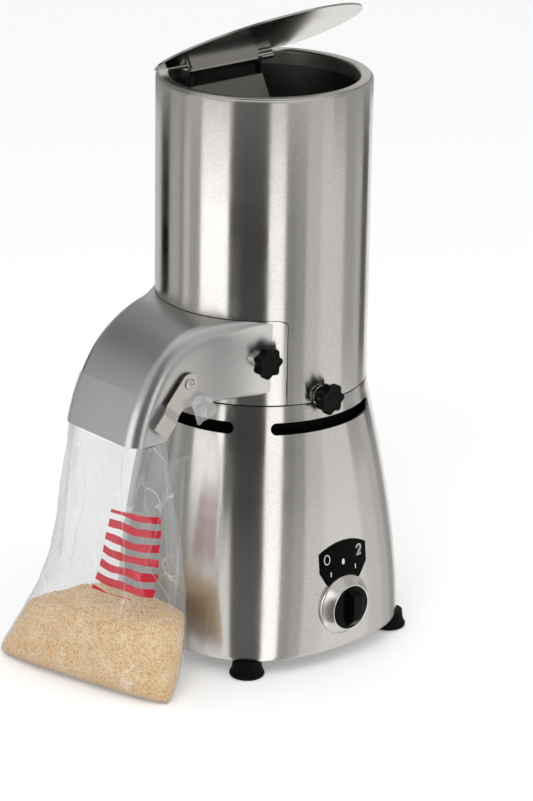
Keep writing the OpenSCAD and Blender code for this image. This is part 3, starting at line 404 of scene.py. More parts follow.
def turned(name, profile, place, axis="Z", steps=96):
    """A turned piece: its (radius, height) profile goes round an axis at a place."""
    rows = []
    for radius, height in profile:
        row = []
        for i in range(steps):
            a = 2 * math.pi * i / steps
            across, along = radius * math.cos(a), radius * math.sin(a)
            if axis == "Z":
                point = (across, along, height)
            elif axis == "-Y":
                point = (across, -height, along)
            else:
                point = (height, across, along)
            row.append(Vector(place) + Vector(point))
        rows.append(row)
    mesh = sheet_mesh(name, rows)
    tidy_mesh(mesh)
    return mesh


def tidy_mesh(mesh):
    """Joins points that fall together and turns all faces outward."""
    work = bmesh.new()
    work.from_mesh(mesh)
    bmesh.ops.remove_doubles(work, verts=work.verts, dist=0.000002)
    bmesh.ops.recalc_face_normals(work, faces=work.faces)
    work.to_mesh(mesh)
    work.free()


def applied(piece, kind, **settings):
    """Adds a modifier to a piece and applies it at once."""
    modifier = piece.modifiers.new(kind.lower(), kind)
    for key, value in settings.items():
        setattr(modifier, key, value)
    with bpy.context.temp_override(object=piece, active_object=piece, selected_objects=[piece]):
        bpy.ops.object.modifier_apply(modifier=modifier.name)


def mix(a, b, t):
    return a + (b - a) * t


def soft_step(t):
    t = min(max(t, 0.0), 1.0)
    return t * t * (3 - 2 * t)


# Camera, floor and light

CAMERA_PLACE = (-2.06214, -2.34888, 1.38502)
CAMERA_FORWARD = Vector((0.621329, 0.704600, -0.342767))
CAMERA_RIGHT = Vector((0.753534, -0.657241, 0.014878))
CAMERA_UP = Vector((0.214798, 0.267531, 0.939303))
FOCAL_PIXELS = 3248.884
FRAME_HEIGHT = 801


def set_up_camera():
    camera = bpy.data.cameras.new("camera")
    camera.sensor_width = 36.0
    camera.lens = FOCAL_PIXELS * 36.0 / FRAME_HEIGHT
    stand = bpy.data.objects.new("camera", camera)
    bpy.context.scene.collection.objects.link(stand)
    turn = Matrix((CAMERA_RIGHT, CAMERA_UP, -CAMERA_FORWARD)).transposed().to_4x4()
    stand.matrix_world = Matrix.Translation(CAMERA_PLACE) @ turn
    bpy.context.scene.camera = stand


def glow(name, strength):
    """A surface that only shows in reflections, such as a softbox or a card."""
    material, tree, output = start_material(name)
    light = add(tree, "ShaderNodeEmission", {"Color": (1.0, 0.985, 0.965, 1.0), "Strength": strength})
    tree.links.new(light.outputs[0], output.inputs[0])
    return material


# Softboxes and black cards stand in a ring round the machine: from angle, to angle, brightness
UPPER_CARDS = [
    (49, 99, 0.62), (99, 103, 0.3), (103, 120, 0.0), (120, 138, 0.5), (138, 144, 0.3), (144, 152, 0.7),
    (152, 166, 0.42), (166, 196, 1.7), (196, 235, 0.06), (235, 251, 1.45), (251, 262, 0.28),
    (262, 272, 0.36), (272, 288, 0.66), (288, 318, 0.8), (318, 336, 0.42), (336, 350, 0.56),
    (350, 368, 0.1), (368, 409, 0.95),
]
LOWER_CARDS = [
    (49, 99, 0.62), (99, 120, 0.3), (120, 138, 0.42), (138, 151, 0.34), (151, 166, 0.4), (166, 180, 0.7),
    (180, 205, 0.95), (205, 236, 0.14), (236, 251, 1.6), (251, 262, 0.42), (262, 272, 0.52), (272, 288, 0.8),
    (288, 318, 0.92), (318, 336, 0.74), (336, 350, 0.6), (350, 368, 0.4), (368, 409, 0.95),
]
CARD_RING_R = 560
CARD_LOW_Z = -900
CARD_MIDDLE_Z = 130
CARD_TOP_Z = 430
# Cards over the ring that the chute's back shows: from angle, to angle, low, high, brightness
HIGH_CARDS = [
    (105, 152, 430, 500, 0.42), (105, 152, 500, 570, 0.34), (105, 152, 570, 660, 0.27),
    (105, 152, 660, 1200, 0.2), (70, 105, 430, 1200, 0.3), (30, 70, 430, 1200, 0.65),
    (152, 200, 430, 1200, 0.55), (200, 235, 430, 1200, 0.2), (235, 300, 430, 1200, 0.6),
    (300, 390, 430, 1200, 0.4),
]


def stand_card(name, start, end, low, high, level):
    """One curved card between two angles and two heights; only shiny surfaces see it."""
    steps = max(2, int((end - start) / 4))
    angles = [math.radians(mix(start, end, i / steps)) for i in range(steps + 1)]
    rows = [[(CARD_RING_R * math.cos(a), CARD_RING_R * math.sin(a), z) for a in angles] for z in (low, high)]
    card = bpy.data.objects.new(name, sheet_mesh(name, rows, False))
    bpy.context.scene.collection.objects.link(card)
    card.data.materials.append(glow(name, level))
    card.visible_camera = False
    card.visible_diffuse = False
    card.visible_transmission = False
    card.visible_shadow = False


def stand_cards():
    for number, (start, end, level) in enumerate(UPPER_CARDS):
        stand_card(f"upper_card_{number}", start, end, CARD_MIDDLE_Z, CARD_TOP_Z, level)
    for number, (start, end, level) in enumerate(LOWER_CARDS):
        stand_card(f"lower_card_{number}", start, end, CARD_LOW_Z, CARD_MIDDLE_Z, level)
    for number, card in enumerate(HIGH_CARDS):
        stand_card(f"high_card_{number}", *card)


def lay_floor():
    mesh = bpy.data.meshes.new("floor")
    size = 6.0
    corners = [(-size, -size, 0), (size, -size, 0), (size, size, 0), (-size, size, 0)]
    mesh.from_pydata(corners, [], [(0, 1, 2, 3)])
    material, tree, output = start_material("matt_white_floor")
    paint = add(tree, "ShaderNodeBsdfPrincipled", {"Base Color": linear("#f4f4f4"), "Roughness": 0.9})
    path = add(tree, "ShaderNodeLightPath")
    lift = add(tree, "ShaderNodeMath", {"operation": "MULTIPLY", 1: 0.21},
               {0: path.outputs["Is Camera Ray"]})
    white = add(tree, "ShaderNodeEmission", {"Color": (1.0, 1.0, 1.0, 1.0)}, {"Strength": lift.outputs[0]})
    both = add(tree, "ShaderNodeAddShader", None, {0: paint.outputs[0], 1: white.outputs[0]})
    tree.links.new(both.outputs[0], output.inputs[0])
    mesh.materials.append(material)
    floor = bpy.data.objects.new("floor", mesh)
    bpy.context.scene.collection.objects.link(floor)
    floor.visible_glossy = False


def light_studio():
    world = bpy.data.worlds.new("studio")
    world.use_nodes = True
    tree = world.node_tree
    tree.nodes.clear()
    output = add(tree, "ShaderNodeOutputWorld")
    path = add(tree, "ShaderNodeLightPath")
    seen = add(tree, "ShaderNodeMath", {"operation": "MAXIMUM"},
               {0: path.outputs["Is Camera Ray"], 1: path.outputs["Is Transmission Ray"]})
    level = add(tree, "ShaderNodeMapRange", {"To Min": 0.78, "To Max": 1.0}, {"Value": seen.outputs[0]})
    sky = add(tree, "ShaderNodeBackground", {"Color": (1.0, 1.0, 1.0, 1.0)}, {"Strength": level.outputs[0]})
    tree.links.new(sky.outputs[0], output.inputs[0])
    bpy.context.scene.world = world
    lamps = [("key_softbox", (-1.5, -1.0, 1.9), 1.2, 16.0), ("fill_softbox", (1.2, -1.8, 1.2), 1.4, 7.0)]
    for name, place, size, power in lamps:
        light = bpy.data.lights.new(name, "AREA")
        light.shape = "SQUARE"
        light.size = size
        light.energy = power
        lamp = bpy.data.objects.new(name, light)
        lamp.location = place
        lamp.rotation_euler = (Vector((0, 0, 0.3)) - Vector(place)).to_track_quat("-Z", "Y").to_euler()
        lamp.visible_glossy = False
        bpy.context.scene.collection.objects.link(lamp)
    bpy.context.scene.view_settings.view_transform = "Standard"


# Base shell

NECK_H = 14
CORNER_R = 146.3
SWELL_Z = BASE_Z + 102
SWELL_R = CORNER_R - 2.6
NECK_Z = SEAM_Z - NECK_H
NECK_R = TUBE_R + 1.9
SIDE_R = shell_high.x
SHELL_WALL = 2
SLOT_TOP = SEAM_Z - 17.5
SLOT_H = 12
SLOT_HALF_A = 35.5


def corner_radius(z):
    """Radius of the shell at its corners: a swelling curve under a nearly straight neck."""
    if z >= NECK_Z:
        return mix(NECK_R, TUBE_R + 0.2, (z - NECK_Z) / NECK_H)
    a = BASE_Z - 2 * SWELL_Z + NECK_Z
    b = 2 * (SWELL_Z - BASE_Z)
    t = (-b + math.sqrt(b * b - 4 * a * (BASE_Z - z))) / (2 * a)
    return (1 - t) ** 2 * CORNER_R + 2 * t * (1 - t) * SWELL_R + t * t * NECK_R


def shell_radius(z, a):
    """Radius of the shell at height z and angle a: a rounded square that turns round at the neck."""
    at_corner = corner_radius(z)
    squareness = (CORNER_R - SIDE_R) * max(0.0, NECK_Z - z) / (NECK_Z - BASE_Z)
    return at_corner - squareness * (1 + math.cos(4 * a)) / 2


def shell_point(z, a, out=0.0):
    radius = shell_radius(z, a) + out
    return Vector((radius * math.cos(a), radius * math.sin(a), z))


def slot_cutter(turn):
    """A bar with round ends that cuts one ventilation slot, bent round the shell."""
    tip = (SLOT_H / 2) / NECK_R
    end = math.radians(SLOT_HALF_A) - tip
    mid_z = SLOT_TOP - SLOT_H / 2
    tips = [end + tip * math.sin(math.radians(b)) for b in (15, 30, 45, 60, 72, 82, 88)]
    angles = [-a for a in reversed(tips)] + [end * k / 12 for k in range(-12, 13)] + tips
    rows = []
    for a in angles:
        past = max(0.0, abs(a) - end) / tip
        half = SLOT_H / 2 * math.sqrt(1 - past ** 2)
        ring = [(90, -half), (125, -half), (125, half), (90, half)]
        rows.append([(r * math.cos(turn + a), r * math.sin(turn + a), mid_z + h) for r, h in ring])
    cutter = bpy.data.objects.new("cutter", capped_mesh("cutter", rows))
    bpy.context.scene.collection.objects.link(cutter)
    return cutter


def cut_away(piece, cutter):
    applied(piece, "BOOLEAN", operation="DIFFERENCE", object=cutter, solver="EXACT")
    bpy.data.objects.remove(cutter)


def make_base_shell():
    """The bell-shaped shell, with a flange under its foot and its seam edge rounded over."""
    steps = 256
    levels = 72

    def ring(z, out):
        return [shell_point(z, 2 * math.pi * i / steps, out) for i in range(steps)]

    rows = [ring(BASE_Z + SHELL_WALL, -14), ring(BASE_Z, -14), ring(BASE_Z, -1.2), ring(BASE_Z + 0.35, -0.35)]
    rows += [ring(mix(BASE_Z + 1.2, SEAM_Z - 1.6, j / levels), 0.0) for j in range(levels + 1)]
    rows += [ring(SEAM_Z - 1.1, -0.12), ring(SEAM_Z - 1.0, -0.35), ring(SEAM_Z - 1.2, -0.6)]
    rows += [ring(SEAM_Z - 3.0, -0.9), ring(SEAM_Z - 3.0, -SHELL_WALL)]
    rows += [ring(z, -SHELL_WALL) for z in (NECK_Z, 200, 120, 60, BASE_Z + SHELL_WALL)]
    rows.append(rows[0])
    mesh = sheet_mesh("base_shell_skin", rows)
    tidy_mesh(mesh)
    piece = finished("base_shell_skin", mesh, "machine", "brushed_shell", ["base_shell"])
    for quarter in range(4):
        cut_away(piece, slot_cutter(quarter * math.pi / 2))
    piece.data.set_sharp_from_angle(angle=math.radians(35))


def make_seam_shade_ring():
    """A black ring in the groove between the shell and the tube: painted shade for the dark seam line."""
    # Painted shade: a thin black ring sits where the seam lies in shade
    shade_profile = [(TUBE_R - 1.9, SEAM_Z - 2.9), (TUBE_R - 0.75, SEAM_Z - 2.9), (TUBE_R - 0.75, SEAM_Z - 0.1),
            (TUBE_R - 1.9, SEAM_Z - 0.1), (TUBE_R - 1.9, SEAM_Z - 2.9)]
    finished("seam_shade_ring", turned("seam_shade_ring", shade_profile, (0, 0, 0), steps=180), "machine", "black_rubber")


# Chute

CHUTE_HALF_W = 57
FLANK_R = 180
BEND_1_R = 95
BEND_1_A = math.radians(55)
BEND_2_R = 185
EDGE_R = 16
TUBE_EDGE_R = 3
CHUTE_WALL = 2
FLANK_X = -math.sqrt((TUBE_R + FLANK_R) ** 2 - (CHUTE_HALF_W + FLANK_R) ** 2)
BEND_1_X = -105
LEDGE_Z = SEAM_Z + 11
LEDGE_FALL = 4
HEEL_START_X = -140
HEEL_X = -166.6
THROAT_X = -60


def flank_half_width(x):
    """Half the chute's width at x: straight, then hollow until it meets the tube."""
    if x < FLANK_X:
        return CHUTE_HALF_W
    return CHUTE_HALF_W + FLANK_R - math.sqrt(FLANK_R ** 2 - (x - FLANK_X) ** 2)


def chute_profiles(steps):
    """Matching points along the chute's upper and lower lines, from the tube to the mouth."""
    centre_1 = Vector((BEND_1_X, DOOR_Z - BEND_1_R))
    end_1 = centre_1 + BEND_1_R * Vector((-math.sin(BEND_1_A), math.cos(BEND_1_A)))
    centre_2 = end_1 + BEND_2_R * Vector((math.sin(BEND_1_A), -math.cos(BEND_1_A)))
    end_a = math.pi / 2 - math.asin((MOUTH_Z - centre_2.y) / BEND_2_R)
    upper = [Vector((mix(THROAT_X, BEND_1_X, i / 6), DOOR_Z)) for i in range(6)]
    for i in range(steps + 1):
        a = BEND_1_A * i / steps
        upper.append(centre_1 + BEND_1_R * Vector((-math.sin(a), math.cos(a))))
    for i in range(1, steps + 1):
        a = mix(BEND_1_A, end_a, i / steps)
        upper.append(centre_2 + BEND_2_R * Vector((-math.sin(a), math.cos(a))))
    lower = []
    last = len(upper) - 1
    for i in range(last + 1):
        u = i / last
        if u < 0.6:
            lower.append(Vector((mix(THROAT_X, HEEL_START_X, u / 0.6), LEDGE_Z - LEDGE_FALL * u / 0.6)))
        else:
            a = (u - 0.6) / 0.4 * math.pi / 2
            x = HEEL_START_X + (HEEL_X - HEEL_START_X) * math.sin(a)
            lower.append(Vector((x, MOUTH_Z + (LEDGE_Z - LEDGE_FALL - MOUTH_Z) * math.cos(a))))
    return upper, lower


def chute_section(high, low, inward, edge_r=EDGE_R, low_r=5.0, arc_steps=10, flank_steps=10):
    """One closed section across the chute, with rounded corners."""
    up = (high - low).normalized()
    length = (high - low).length
    edge_r = mix(edge_r, TUBE_EDGE_R, soft_step((high.x + 112) / 50))
    r_top = edge_r - inward
    r_low = low_r - min(inward, 3)
    v_top = length - inward - r_top
    v_low = inward + r_low
    half = []
    for k in range(arc_steps + 1):
        a = math.pi / 2 * k / arc_steps
        half.append((v_low - r_low * math.cos(a), r_low * (1 - math.sin(a))))
    for k in range(1, flank_steps + 1):
        half.append((mix(v_low, v_top, k / (flank_steps + 1)), 0.0))
    for k in range(arc_steps + 1):
        a = math.pi / 2 * k / arc_steps
        half.append((v_top + r_top * math.sin(a), r_top * (1 - math.cos(a))))
    ring = []
    for v, inset in half:
        p = low + up * v
        ring.append(Vector((p.x, -(flank_half_width(p.x) - inward - inset), p.y)))
    for v, inset in reversed(half):
        p = low + up * v
        ring.append(Vector((p.x, flank_half_width(p.x) - inward - inset, p.y)))
    return ring


def make_chute():
    """The bent chute: a smooth back, hollow flanks and a rolled mouth edge."""
    upper, lower = chute_profiles(20)
    pairs = list(zip(upper, lower))
    rows = [chute_section(h, l, 0) for h, l in pairs]
    rows += [chute_section(h, l, 0.6) for h, l in pairs[-1:]]
    rows += [chute_section(h, l, CHUTE_WALL) for h, l in reversed(pairs)]
    rows.append(rows[0])
    mesh = sheet_mesh("chute_skin", rows)
    tidy_mesh(mesh)
    piece = finished("chute_skin", mesh, "machine", "polished_chute", ["chute"])
    tube = turned("cutter", [(0, SEAM_Z - 20), (TUBE_R + 0.05, SEAM_Z - 20), (TUBE_R + 0.05, DOOR_Z + 40),
                             (0, DOOR_Z + 40)], (0, 0, 0), steps=256)
    cutter = bpy.data.objects.new("cutter", tube)
    bpy.context.scene.collection.objects.link(cutter)
    cut_away(piece, cutter)
    piece.data.set_sharp_from_angle(angle=math.radians(35))
    return piece


# Star knobs

KNOB_LOBES = 7


def joint_place(joint):
    """A point on a joint's axis, in millimetres."""
    found = [j for j in frame["record"]["behaviour"]["joints"] if j["name"] == joint]
    return Vector(found[0]["pos_m"]) / MM


def make_star_knob(name, body, facing, collar):
    """A black star knob with seven soft lobes, a shallow face and a collar, on its stud."""
    low, high = corner(body, 0), corner(body, 1)
    place = joint_place(body + "_turn")
    out_r = 16.0
    face_y = low.y if facing < 0 else high.y
    stud_y = high.y if facing < 0 else low.y
    thickness = 11.0
    steps = 168
    profile = [(0.0, 0.25), (0.34, 0.25), (0.40, 0.32), (0.62, 0.4), (0.78, 0.1), (0.86, 0.0),
               (0.93, 0.1), (0.97, 0.4), (0.99, 0.9), (1.0, 1.8), (1.0, 8.5), (0.985, 9.6),
               (0.95, 10.5), (0.88, 10.95), (0.5, 11.0)]
    rows = []
    for share, depth in profile:
        row = []
        for i in range(steps):
            a = 2 * math.pi * i / steps
            lobes = 1 - 0.1 * (1 - math.cos(KNOB_LOBES * a)) * soft_step((share - 0.45) / 0.45)
            radius = out_r * share * lobes
            y = face_y - facing * depth
            row.append((place.x + radius * math.cos(a), y, place.z + radius * math.sin(a)))
        rows.append(row)
    collar_r, stud_r = 7.0, 4.0
    collar_end = face_y - facing * (thickness + collar)
    for radius, y in [(collar_r, face_y - facing * thickness), (collar_r, collar_end), (stud_r, collar_end),
                      (stud_r, stud_y), (0.0, stud_y)]:
        rows.append([(place.x + radius * math.cos(2 * math.pi * i / steps), y,
                      place.z + radius * math.sin(2 * math.pi * i / steps)) for i in range(steps)])
    mesh = sheet_mesh(name, rows)
    tidy_mesh(mesh)
    return finished(name, mesh, body, "black_plastic", [body], smooth_angle=40)


# Switch

SWITCH_X = joint_place("switch_turn").x
SWITCH_Z = joint_place("switch_turn").z
DIAL_R = 22
BEZEL_R = 31.5
GRIP_T = 10.4
GRIP_W = 11


def make_switch():
    """The dial with its grip bar, which slopes down to the dial at both ends."""
    disc_y = corner("switch_knob", 0).y + GRIP_T
    profile = [(0, 0), (DIAL_R - 1.2, 0), (DIAL_R - 0.4, 0.35), (DIAL_R, 1.2), (DIAL_R, 9.5), (0, 9.5)]
    disc = turned("dial_disc", [(r, -disc_y - h) for r, h in profile], (SWITCH_X, 0, SWITCH_Z), "-Y")
    finished("dial_disc", disc, "switch_knob", "black_plastic", ["switch_knob"])
    side = [(1.0, -20.6), (0.0, -20.6), (-4.5, -16.4), (-9.0, -12.2), (-GRIP_T, -10.0), (-GRIP_T, 14.6),
            (-9.0, 16.4), (-4.5, 18.8), (0.0, 20.8), (1.0, 20.8)]
    rows = [[(SWITCH_X + x, disc_y + y, SWITCH_Z + z) for y, z in side] for x in (-GRIP_W / 2, GRIP_W / 2)]
    piece = finished("dial_grip_bar", capped_mesh("dial_grip_bar", rows), "switch_knob", "black_plastic")
    bevel = piece.modifiers.new("soft_edges", "BEVEL")
    bevel.width = 0.0007
    bevel.segments = 3
    bevel.limit_method = "ANGLE"


def make_bezel():
    """The conical bezel: a broad cone with a turned lip round the dial, with a thin black ring round its foot
    as painted shadow.
    """
    front = -corner("switch_bezel", 0).y
    back = front - 11.5
    profile = [(12.0, front - 8.2), (DIAL_R + 0.6, front - 8.2), (DIAL_R + 0.6, front - 0.3),
               (DIAL_R + 0.9, front), (DIAL_R + 1.7, front), (DIAL_R + 2.2, front - 0.5),
               (BEZEL_R - 2.5, back + 3.2), (BEZEL_R - 0.8, back + 2.2), (BEZEL_R, back + 1.0),
               (BEZEL_R, back - 2.5)]
    mesh = turned("switch_bezel_ring", profile, (SWITCH_X, 0, SWITCH_Z), "-Y", 160)
    finished("switch_bezel_ring", mesh, "machine", "bezel_metal", ["switch_bezel"])
    # Painted shadow: a thin black ring round the foot of the bezel
    shadow_profile = [(BEZEL_R - 1.5, back - 2.0), (BEZEL_R - 0.1, back - 2.0), (BEZEL_R - 0.1, back - 6.0),
              (BEZEL_R - 1.5, back - 6.0), (BEZEL_R - 1.5, back - 2.0)]
    mesh = turned("bezel_shadow_ring", shadow_profile, (SWITCH_X, 0, SWITCH_Z), "-Y", 160)
    finished("bezel_shadow_ring", mesh, "machine", "black_rubber")


def stroke(name, points, width, closed=False, out=1.25, ink=True):
    """A printed line on the curved plate, through (across, up) points about the switch axis."""
    left, right = [], []
    count = len(points)
    for i, (x, z) in enumerate(points):
        before = points[i - 1] if (i or closed) else points[i]
        after = points[(i + 1) % count] if (i < count - 1 or closed) else points[i]
        way = Vector((after[0] - before[0], after[1] - before[1])).normalized()
        side = Vector((-way.y, way.x)) * width / 2
        left.append(plate_point(x + side.x, z + side.y, out))
        right.append(plate_point(x - side.x, z - side.y, out))
    if closed:
        left.append(left[0])
        right.append(right[0])
    mesh = sheet_mesh(name, [left, right], False)
    return finished(name, mesh, "machine", "legend_black", material=WHITE_INK if ink else None)


def plate_point(across, up, out):
    """A point on the shell's front, at a distance across and up from the switch axis."""
    x, z = SWITCH_X + across, SWITCH_Z + up
    a = -math.pi / 2
    for _ in range(6):
        a = -math.acos(max(-1.0, min(1.0, x / (shell_radius(z, a) + out))))
    return shell_point(z, a, out)


def oval(centre_x, centre_z, half_x, half_z):
    """Points round an oval, for a closed stroke."""
    turns = [t * math.pi / 12 for t in range(24)]
    return [(centre_x + half_x * math.cos(a), centre_z + half_z * math.sin(a)) for a in turns]


def make_plate():
    """The black plate over the switch, bent to the shell, with plain figures."""
    middle_x, half_w, top_r, top_middle = 1.5, 31.0, 58.0, 10.0
    step_x, step_z, lower_corner_z = 20.8, 24.0, 38.8
    columns, bands = 40, 24
    rows = []
    for j in range(bands + 1):
        row = []
        for i in range(columns + 1):
            x = mix(middle_x - half_w, middle_x + half_w, i / columns)
            top = top_middle + math.sqrt(top_r ** 2 - (x - middle_x) ** 2)
            if abs(x) < step_x:
                bottom = math.sqrt((BEZEL_R + 0.3) ** 2 - x ** 2)
            else:
                reach = half_w + math.copysign(middle_x, x) - step_x
                bottom = mix(step_z, lower_corner_z, (abs(x) - step_x) / reach)
            row.append(plate_point(x, mix(bottom, top, j / bands), 1.15))
        rows.append(row)
    mesh = sheet_mesh("legend_plate", rows, False)
    piece = finished("legend_plate", mesh, "machine", "legend_black", ["switch_plate"])
    applied(piece, "SOLIDIFY", thickness=0.0009, offset=-1.0)
    stroke("figure_0", oval(-20.9, 52.3, 3.3, 4.9), 0.85, closed=True)
    stroke("figure_dot", oval(-0.4, 46.2, 0.9, 2.2), 1.8, closed=True)
    two = [(-3.2, 2.2), (-2.2, 4.2), (0.2, 5.0), (2.6, 4.0), (3.2, 2.0), (2.2, 0.0), (-0.4, -2.2),
           (-3.2, -4.6), (3.4, -4.6)]
    stroke("figure_2", [(21.6 + x, 53.3 + z) for x, z in two], 2.3)
    stroke("figure_2_inside", [(21.6 + 0.94 * x, 53.3 + 0.94 * z) for x, z in two], 0.9, out=1.32, ink=False)
    for name, x, z in (("figure_1_left", -16.6, 36.3), ("figure_1_right", 16.2, 37.4)):
        stroke(name, [(x - 1.1, z + 1.2), (x, z + 2.6), (x, z - 2.8)], 1.1)


# Bag, its crumbs and the film gathered at the chute

# Heights of the bag, each with the middle in X, the half sizes in X and Y, and the turn in degrees
BAG_LEVELS = [
    (1.2, -229, 9, 106, 14), (6, -228, 20, 108, 14), (16, -223, 31, 106, 14), (34, -213, 39, 101, 13),
    (60, -202, 43, 93, 11), (80, -195, 42, 88, 9), (100, -190, 40, 86, 8), (150, -186, 36, 82, 4),
    (200, -185, 32, 76, 2), (240, -186, 29, 67, 1), (256, -187, 28, 61, 0),
]


def bag_level(z):
    """Centre, half sizes and turn of the bag at a height, smoothly between its levels."""
    levels = BAG_LEVELS
    z = min(max(z, levels[0][0]), levels[-1][0])
    k = max(i for i in range(len(levels) - 1) if levels[i][0] <= z)
    p0, p1, p2, p3 = levels[max(k - 1, 0)], levels[k], levels[k + 1], levels[min(k + 2, len(levels) - 1)]
    t = (z - p1[0]) / (p2[0] - p1[0])
    values = []
    for c in range(1, 5):
        span = p2[0] - p1[0]
        m1 = (p2[c] - p0[c]) / (p2[0] - p0[0]) * span
        m2 = (p3[c] - p1[c]) / (p3[0] - p1[0]) * span
        values.append((2 * t ** 3 - 3 * t ** 2 + 1) * p1[c] + (t ** 3 - 2 * t ** 2 + t) * m1
                      + (-2 * t ** 3 + 3 * t ** 2) * p2[c] + (t ** 3 - t ** 2) * m2)
    return values


def bag_outline(z, angle, inset):
    """A point of the bag's outline: a pillow-like section."""
    centre_x, half_x, half_y, turn = bag_level(z)
    c, s = math.cos(angle), math.sin(angle)
    full = mix(0.72, 0.95, soft_step((z - 80) / 60) * soft_step((256 - z) / 40))
    x = (half_x - inset) * math.copysign(abs(c) ** full, c)
    y = (half_y - inset) * math.copysign(abs(s) ** full, s)
    t = math.radians(turn)
    return Vector((centre_x + x * math.cos(t) - y * math.sin(t), x * math.sin(t) + y * math.cos(t), z))


def film_folds(point, angle, z):
    """How far the film stands in or out: long folds from the gathered neck, slack above the crumbs."""
    empty = soft_step((z - 85) / 60)
    folds = 0.0
    for number, waves, lean, size in ((0, 5, 0.6, 1.0), (1, 9, -0.9, 0.6), (2, 14, 1.3, 0.35)):
        folds += size * math.sin(waves * angle + lean * z / 30 + number * 2.1)
    loose = noise.noise(Vector((point.x, point.y, z * 0.6)) * 0.028) * 3.2
    tight = noise.noise(Vector((point.x, point.y, z)) * 0.07) * 0.8
    return (folds * 1.2 + loose) * empty * soft_step((262 - z) / 40) + tight - 1.2


def make_bag():
    """The clear film bag: a loft that sags over the crumbs and folds above them."""
    steps, levels = 220, 150
    rows = []
    for j in range(levels + 1):
        z = mix(1.2, 256.0, (j / levels) ** 1.15)
        row = []
        for i in range(steps):
            angle = 2 * math.pi * i / steps
            point = bag_outline(z, angle, 0)
            centre = Vector((bag_level(z)[0], 0, z))
            out = (point - centre).normalized()
            row.append(point + out * film_folds(point, angle, z))
        rows.append(row)
    base = rows[0]
    middle = sum(base, Vector()) / len(base)
    rows.insert(0, [mix(p, middle, 0.97) for p in base])
    mesh = sheet_mesh("film_bag", rows)
    tidy_mesh(mesh)
    return finished("film_bag", mesh, "machine", "clear_film", ["bag"], PRINTED_FILM, 0)


def crumb_top(x, y):
    """Height of the crumbs' surface: nearly level, and lower at the far end."""
    fall = 0.0036 * max(0.0, y - 8) ** 2 + 0.0015 * max(0.0, -70 - y) ** 2
    mound = 79 - fall - 0.0028 * (x + 190) ** 2
    lumps = 2.4 * noise.noise(Vector((x, y, 3.0)) * 0.045) + 1.6 * noise.noise(Vector((x, y, 9.0)) * 0.16)
    return mound + lumps


def make_crumbs():
    """The heap of crumbs that fills the bag's foot, pressed to the film and grainy all over."""
    steps, levels, rings = 300, 74, 60
    rows = []
    for j in range(levels + 1):
        share = j / levels
        row = []
        for i in range(steps):
            angle = 2 * math.pi * i / steps
            rim = bag_outline(76, angle, 3)
            z = mix(2.2, crumb_top(rim.x, rim.y) - 2, share)
            point = bag_outline(z, angle, 3.2)
            grain = 0.9 * noise.noise(point * 0.35) + 0.5 * noise.noise(point * 0.9)
            centre = Vector((bag_level(z)[0], 0, z))
            row.append(point + (point - centre).normalized() * grain)
        rows.append(row)
    edge = rows[-1]
    middle = sum(edge, Vector()) / len(edge)
    for k in range(1, rings + 1):
        row = []
        for p in edge:
            q = mix(p, middle, (k / rings) * 0.995)
            z = mix(p.z, crumb_top(q.x, q.y), soft_step(k / 8))
            row.append(Vector((q.x, q.y, z + 0.9 * noise.noise(Vector((q.x, q.y, 1)) * 0.6))))
        rows.append(row)
    floor_middle = sum(rows[0], Vector()) / len(rows[0])
    rows.insert(0, [mix(p, floor_middle, 0.97) for p in rows[0]])
    mesh = sheet_mesh("crumb_heap", rows)
    tidy_mesh(mesh)
    return finished("crumb_heap", mesh, "machine", "bread_crumbs", ["crumbs"], smooth_angle=0)


def make_neck():
    """Film drawn over the chute's mouth and held under the clips."""
    upper, lower = chute_profiles(20)
    pairs = list(zip(upper, lower))
    rows = []
    for order, k in enumerate((1, 3, 5, 7, 9, 11, 13, 15)):
        ring = chute_section(*pairs[-k], -0.9)
        row = []
        for i, p in enumerate(ring):
            pleat = 0.5 * math.sin(i * 1.1 + order * 0.7) + 0.5 * noise.noise(p * 0.08)
            centre = Vector((-186, 0, p.z))
            row.append(p + (p - centre).normalized() * max(0.0, pleat))
        rows.append(row)
    mesh = sheet_mesh("film_neck", rows)
    tidy_mesh(mesh)
    return finished("film_neck", mesh, "machine", "clear_film", ["bag_collar"], THIN_FILM, smooth_angle=0)


# Edge of the film on the near side, from below the clip down to the crumbs, and its root on the bag
FIN_EDGE = [(-160, -84, 250), (-166, -85, 248), (-172, -86, 244), (-176, -90, 228), (-179, -93, 188),
            (-183, -95, 147), (-188, -94, 92)]
FIN_ROOT = [(-176, -68, 240), (-180, -68, 240), (-184, -69, 238), (-186, -71, 228), (-187, -77, 188),
            (-188, -81, 147), (-192, -86, 92)]


def along(points, t):
    """A point on the smooth line through a list of points, at a share t of its stretches."""
    place = min(max(t, 0.0), 1.0) * (len(points) - 1)
    k = min(int(place), len(points) - 2)
    u = place - k
    p0, p1, p2, p3 = (Vector(points[min(max(k + d, 0), len(points) - 1)]) for d in (-1, 0, 1, 2))
    return 0.5 * (2 * p1 + (p2 - p0) * u + (2 * p0 - 5 * p1 + 4 * p2 - p3) * u * u
                  + (3 * p1 - p0 - 3 * p2 + p3) * u ** 3)


def make_fin(name, side):
    """The flat, creased fin of film at the side of the bag."""
    rows = []
    for j in range(61):
        t = j / 60
        edge, root = along(FIN_EDGE, t), along(FIN_ROOT, t)
        row = []
        for i in range(17):
            s = i / 16
            fold = 2.2 * math.sin(7 * s + 4 * t) + 2.6 * noise.noise(Vector((s * 3, t * 7, side * 4)))
            p = mix(root, edge, s) + Vector((fold * s * 0.8, 0, 0))
            row.append((p.x, -side * p.y, p.z))
        rows.append(row)
    return finished(name, sheet_mesh(name, rows, False), "machine", "clear_film", smooth_angle=0)


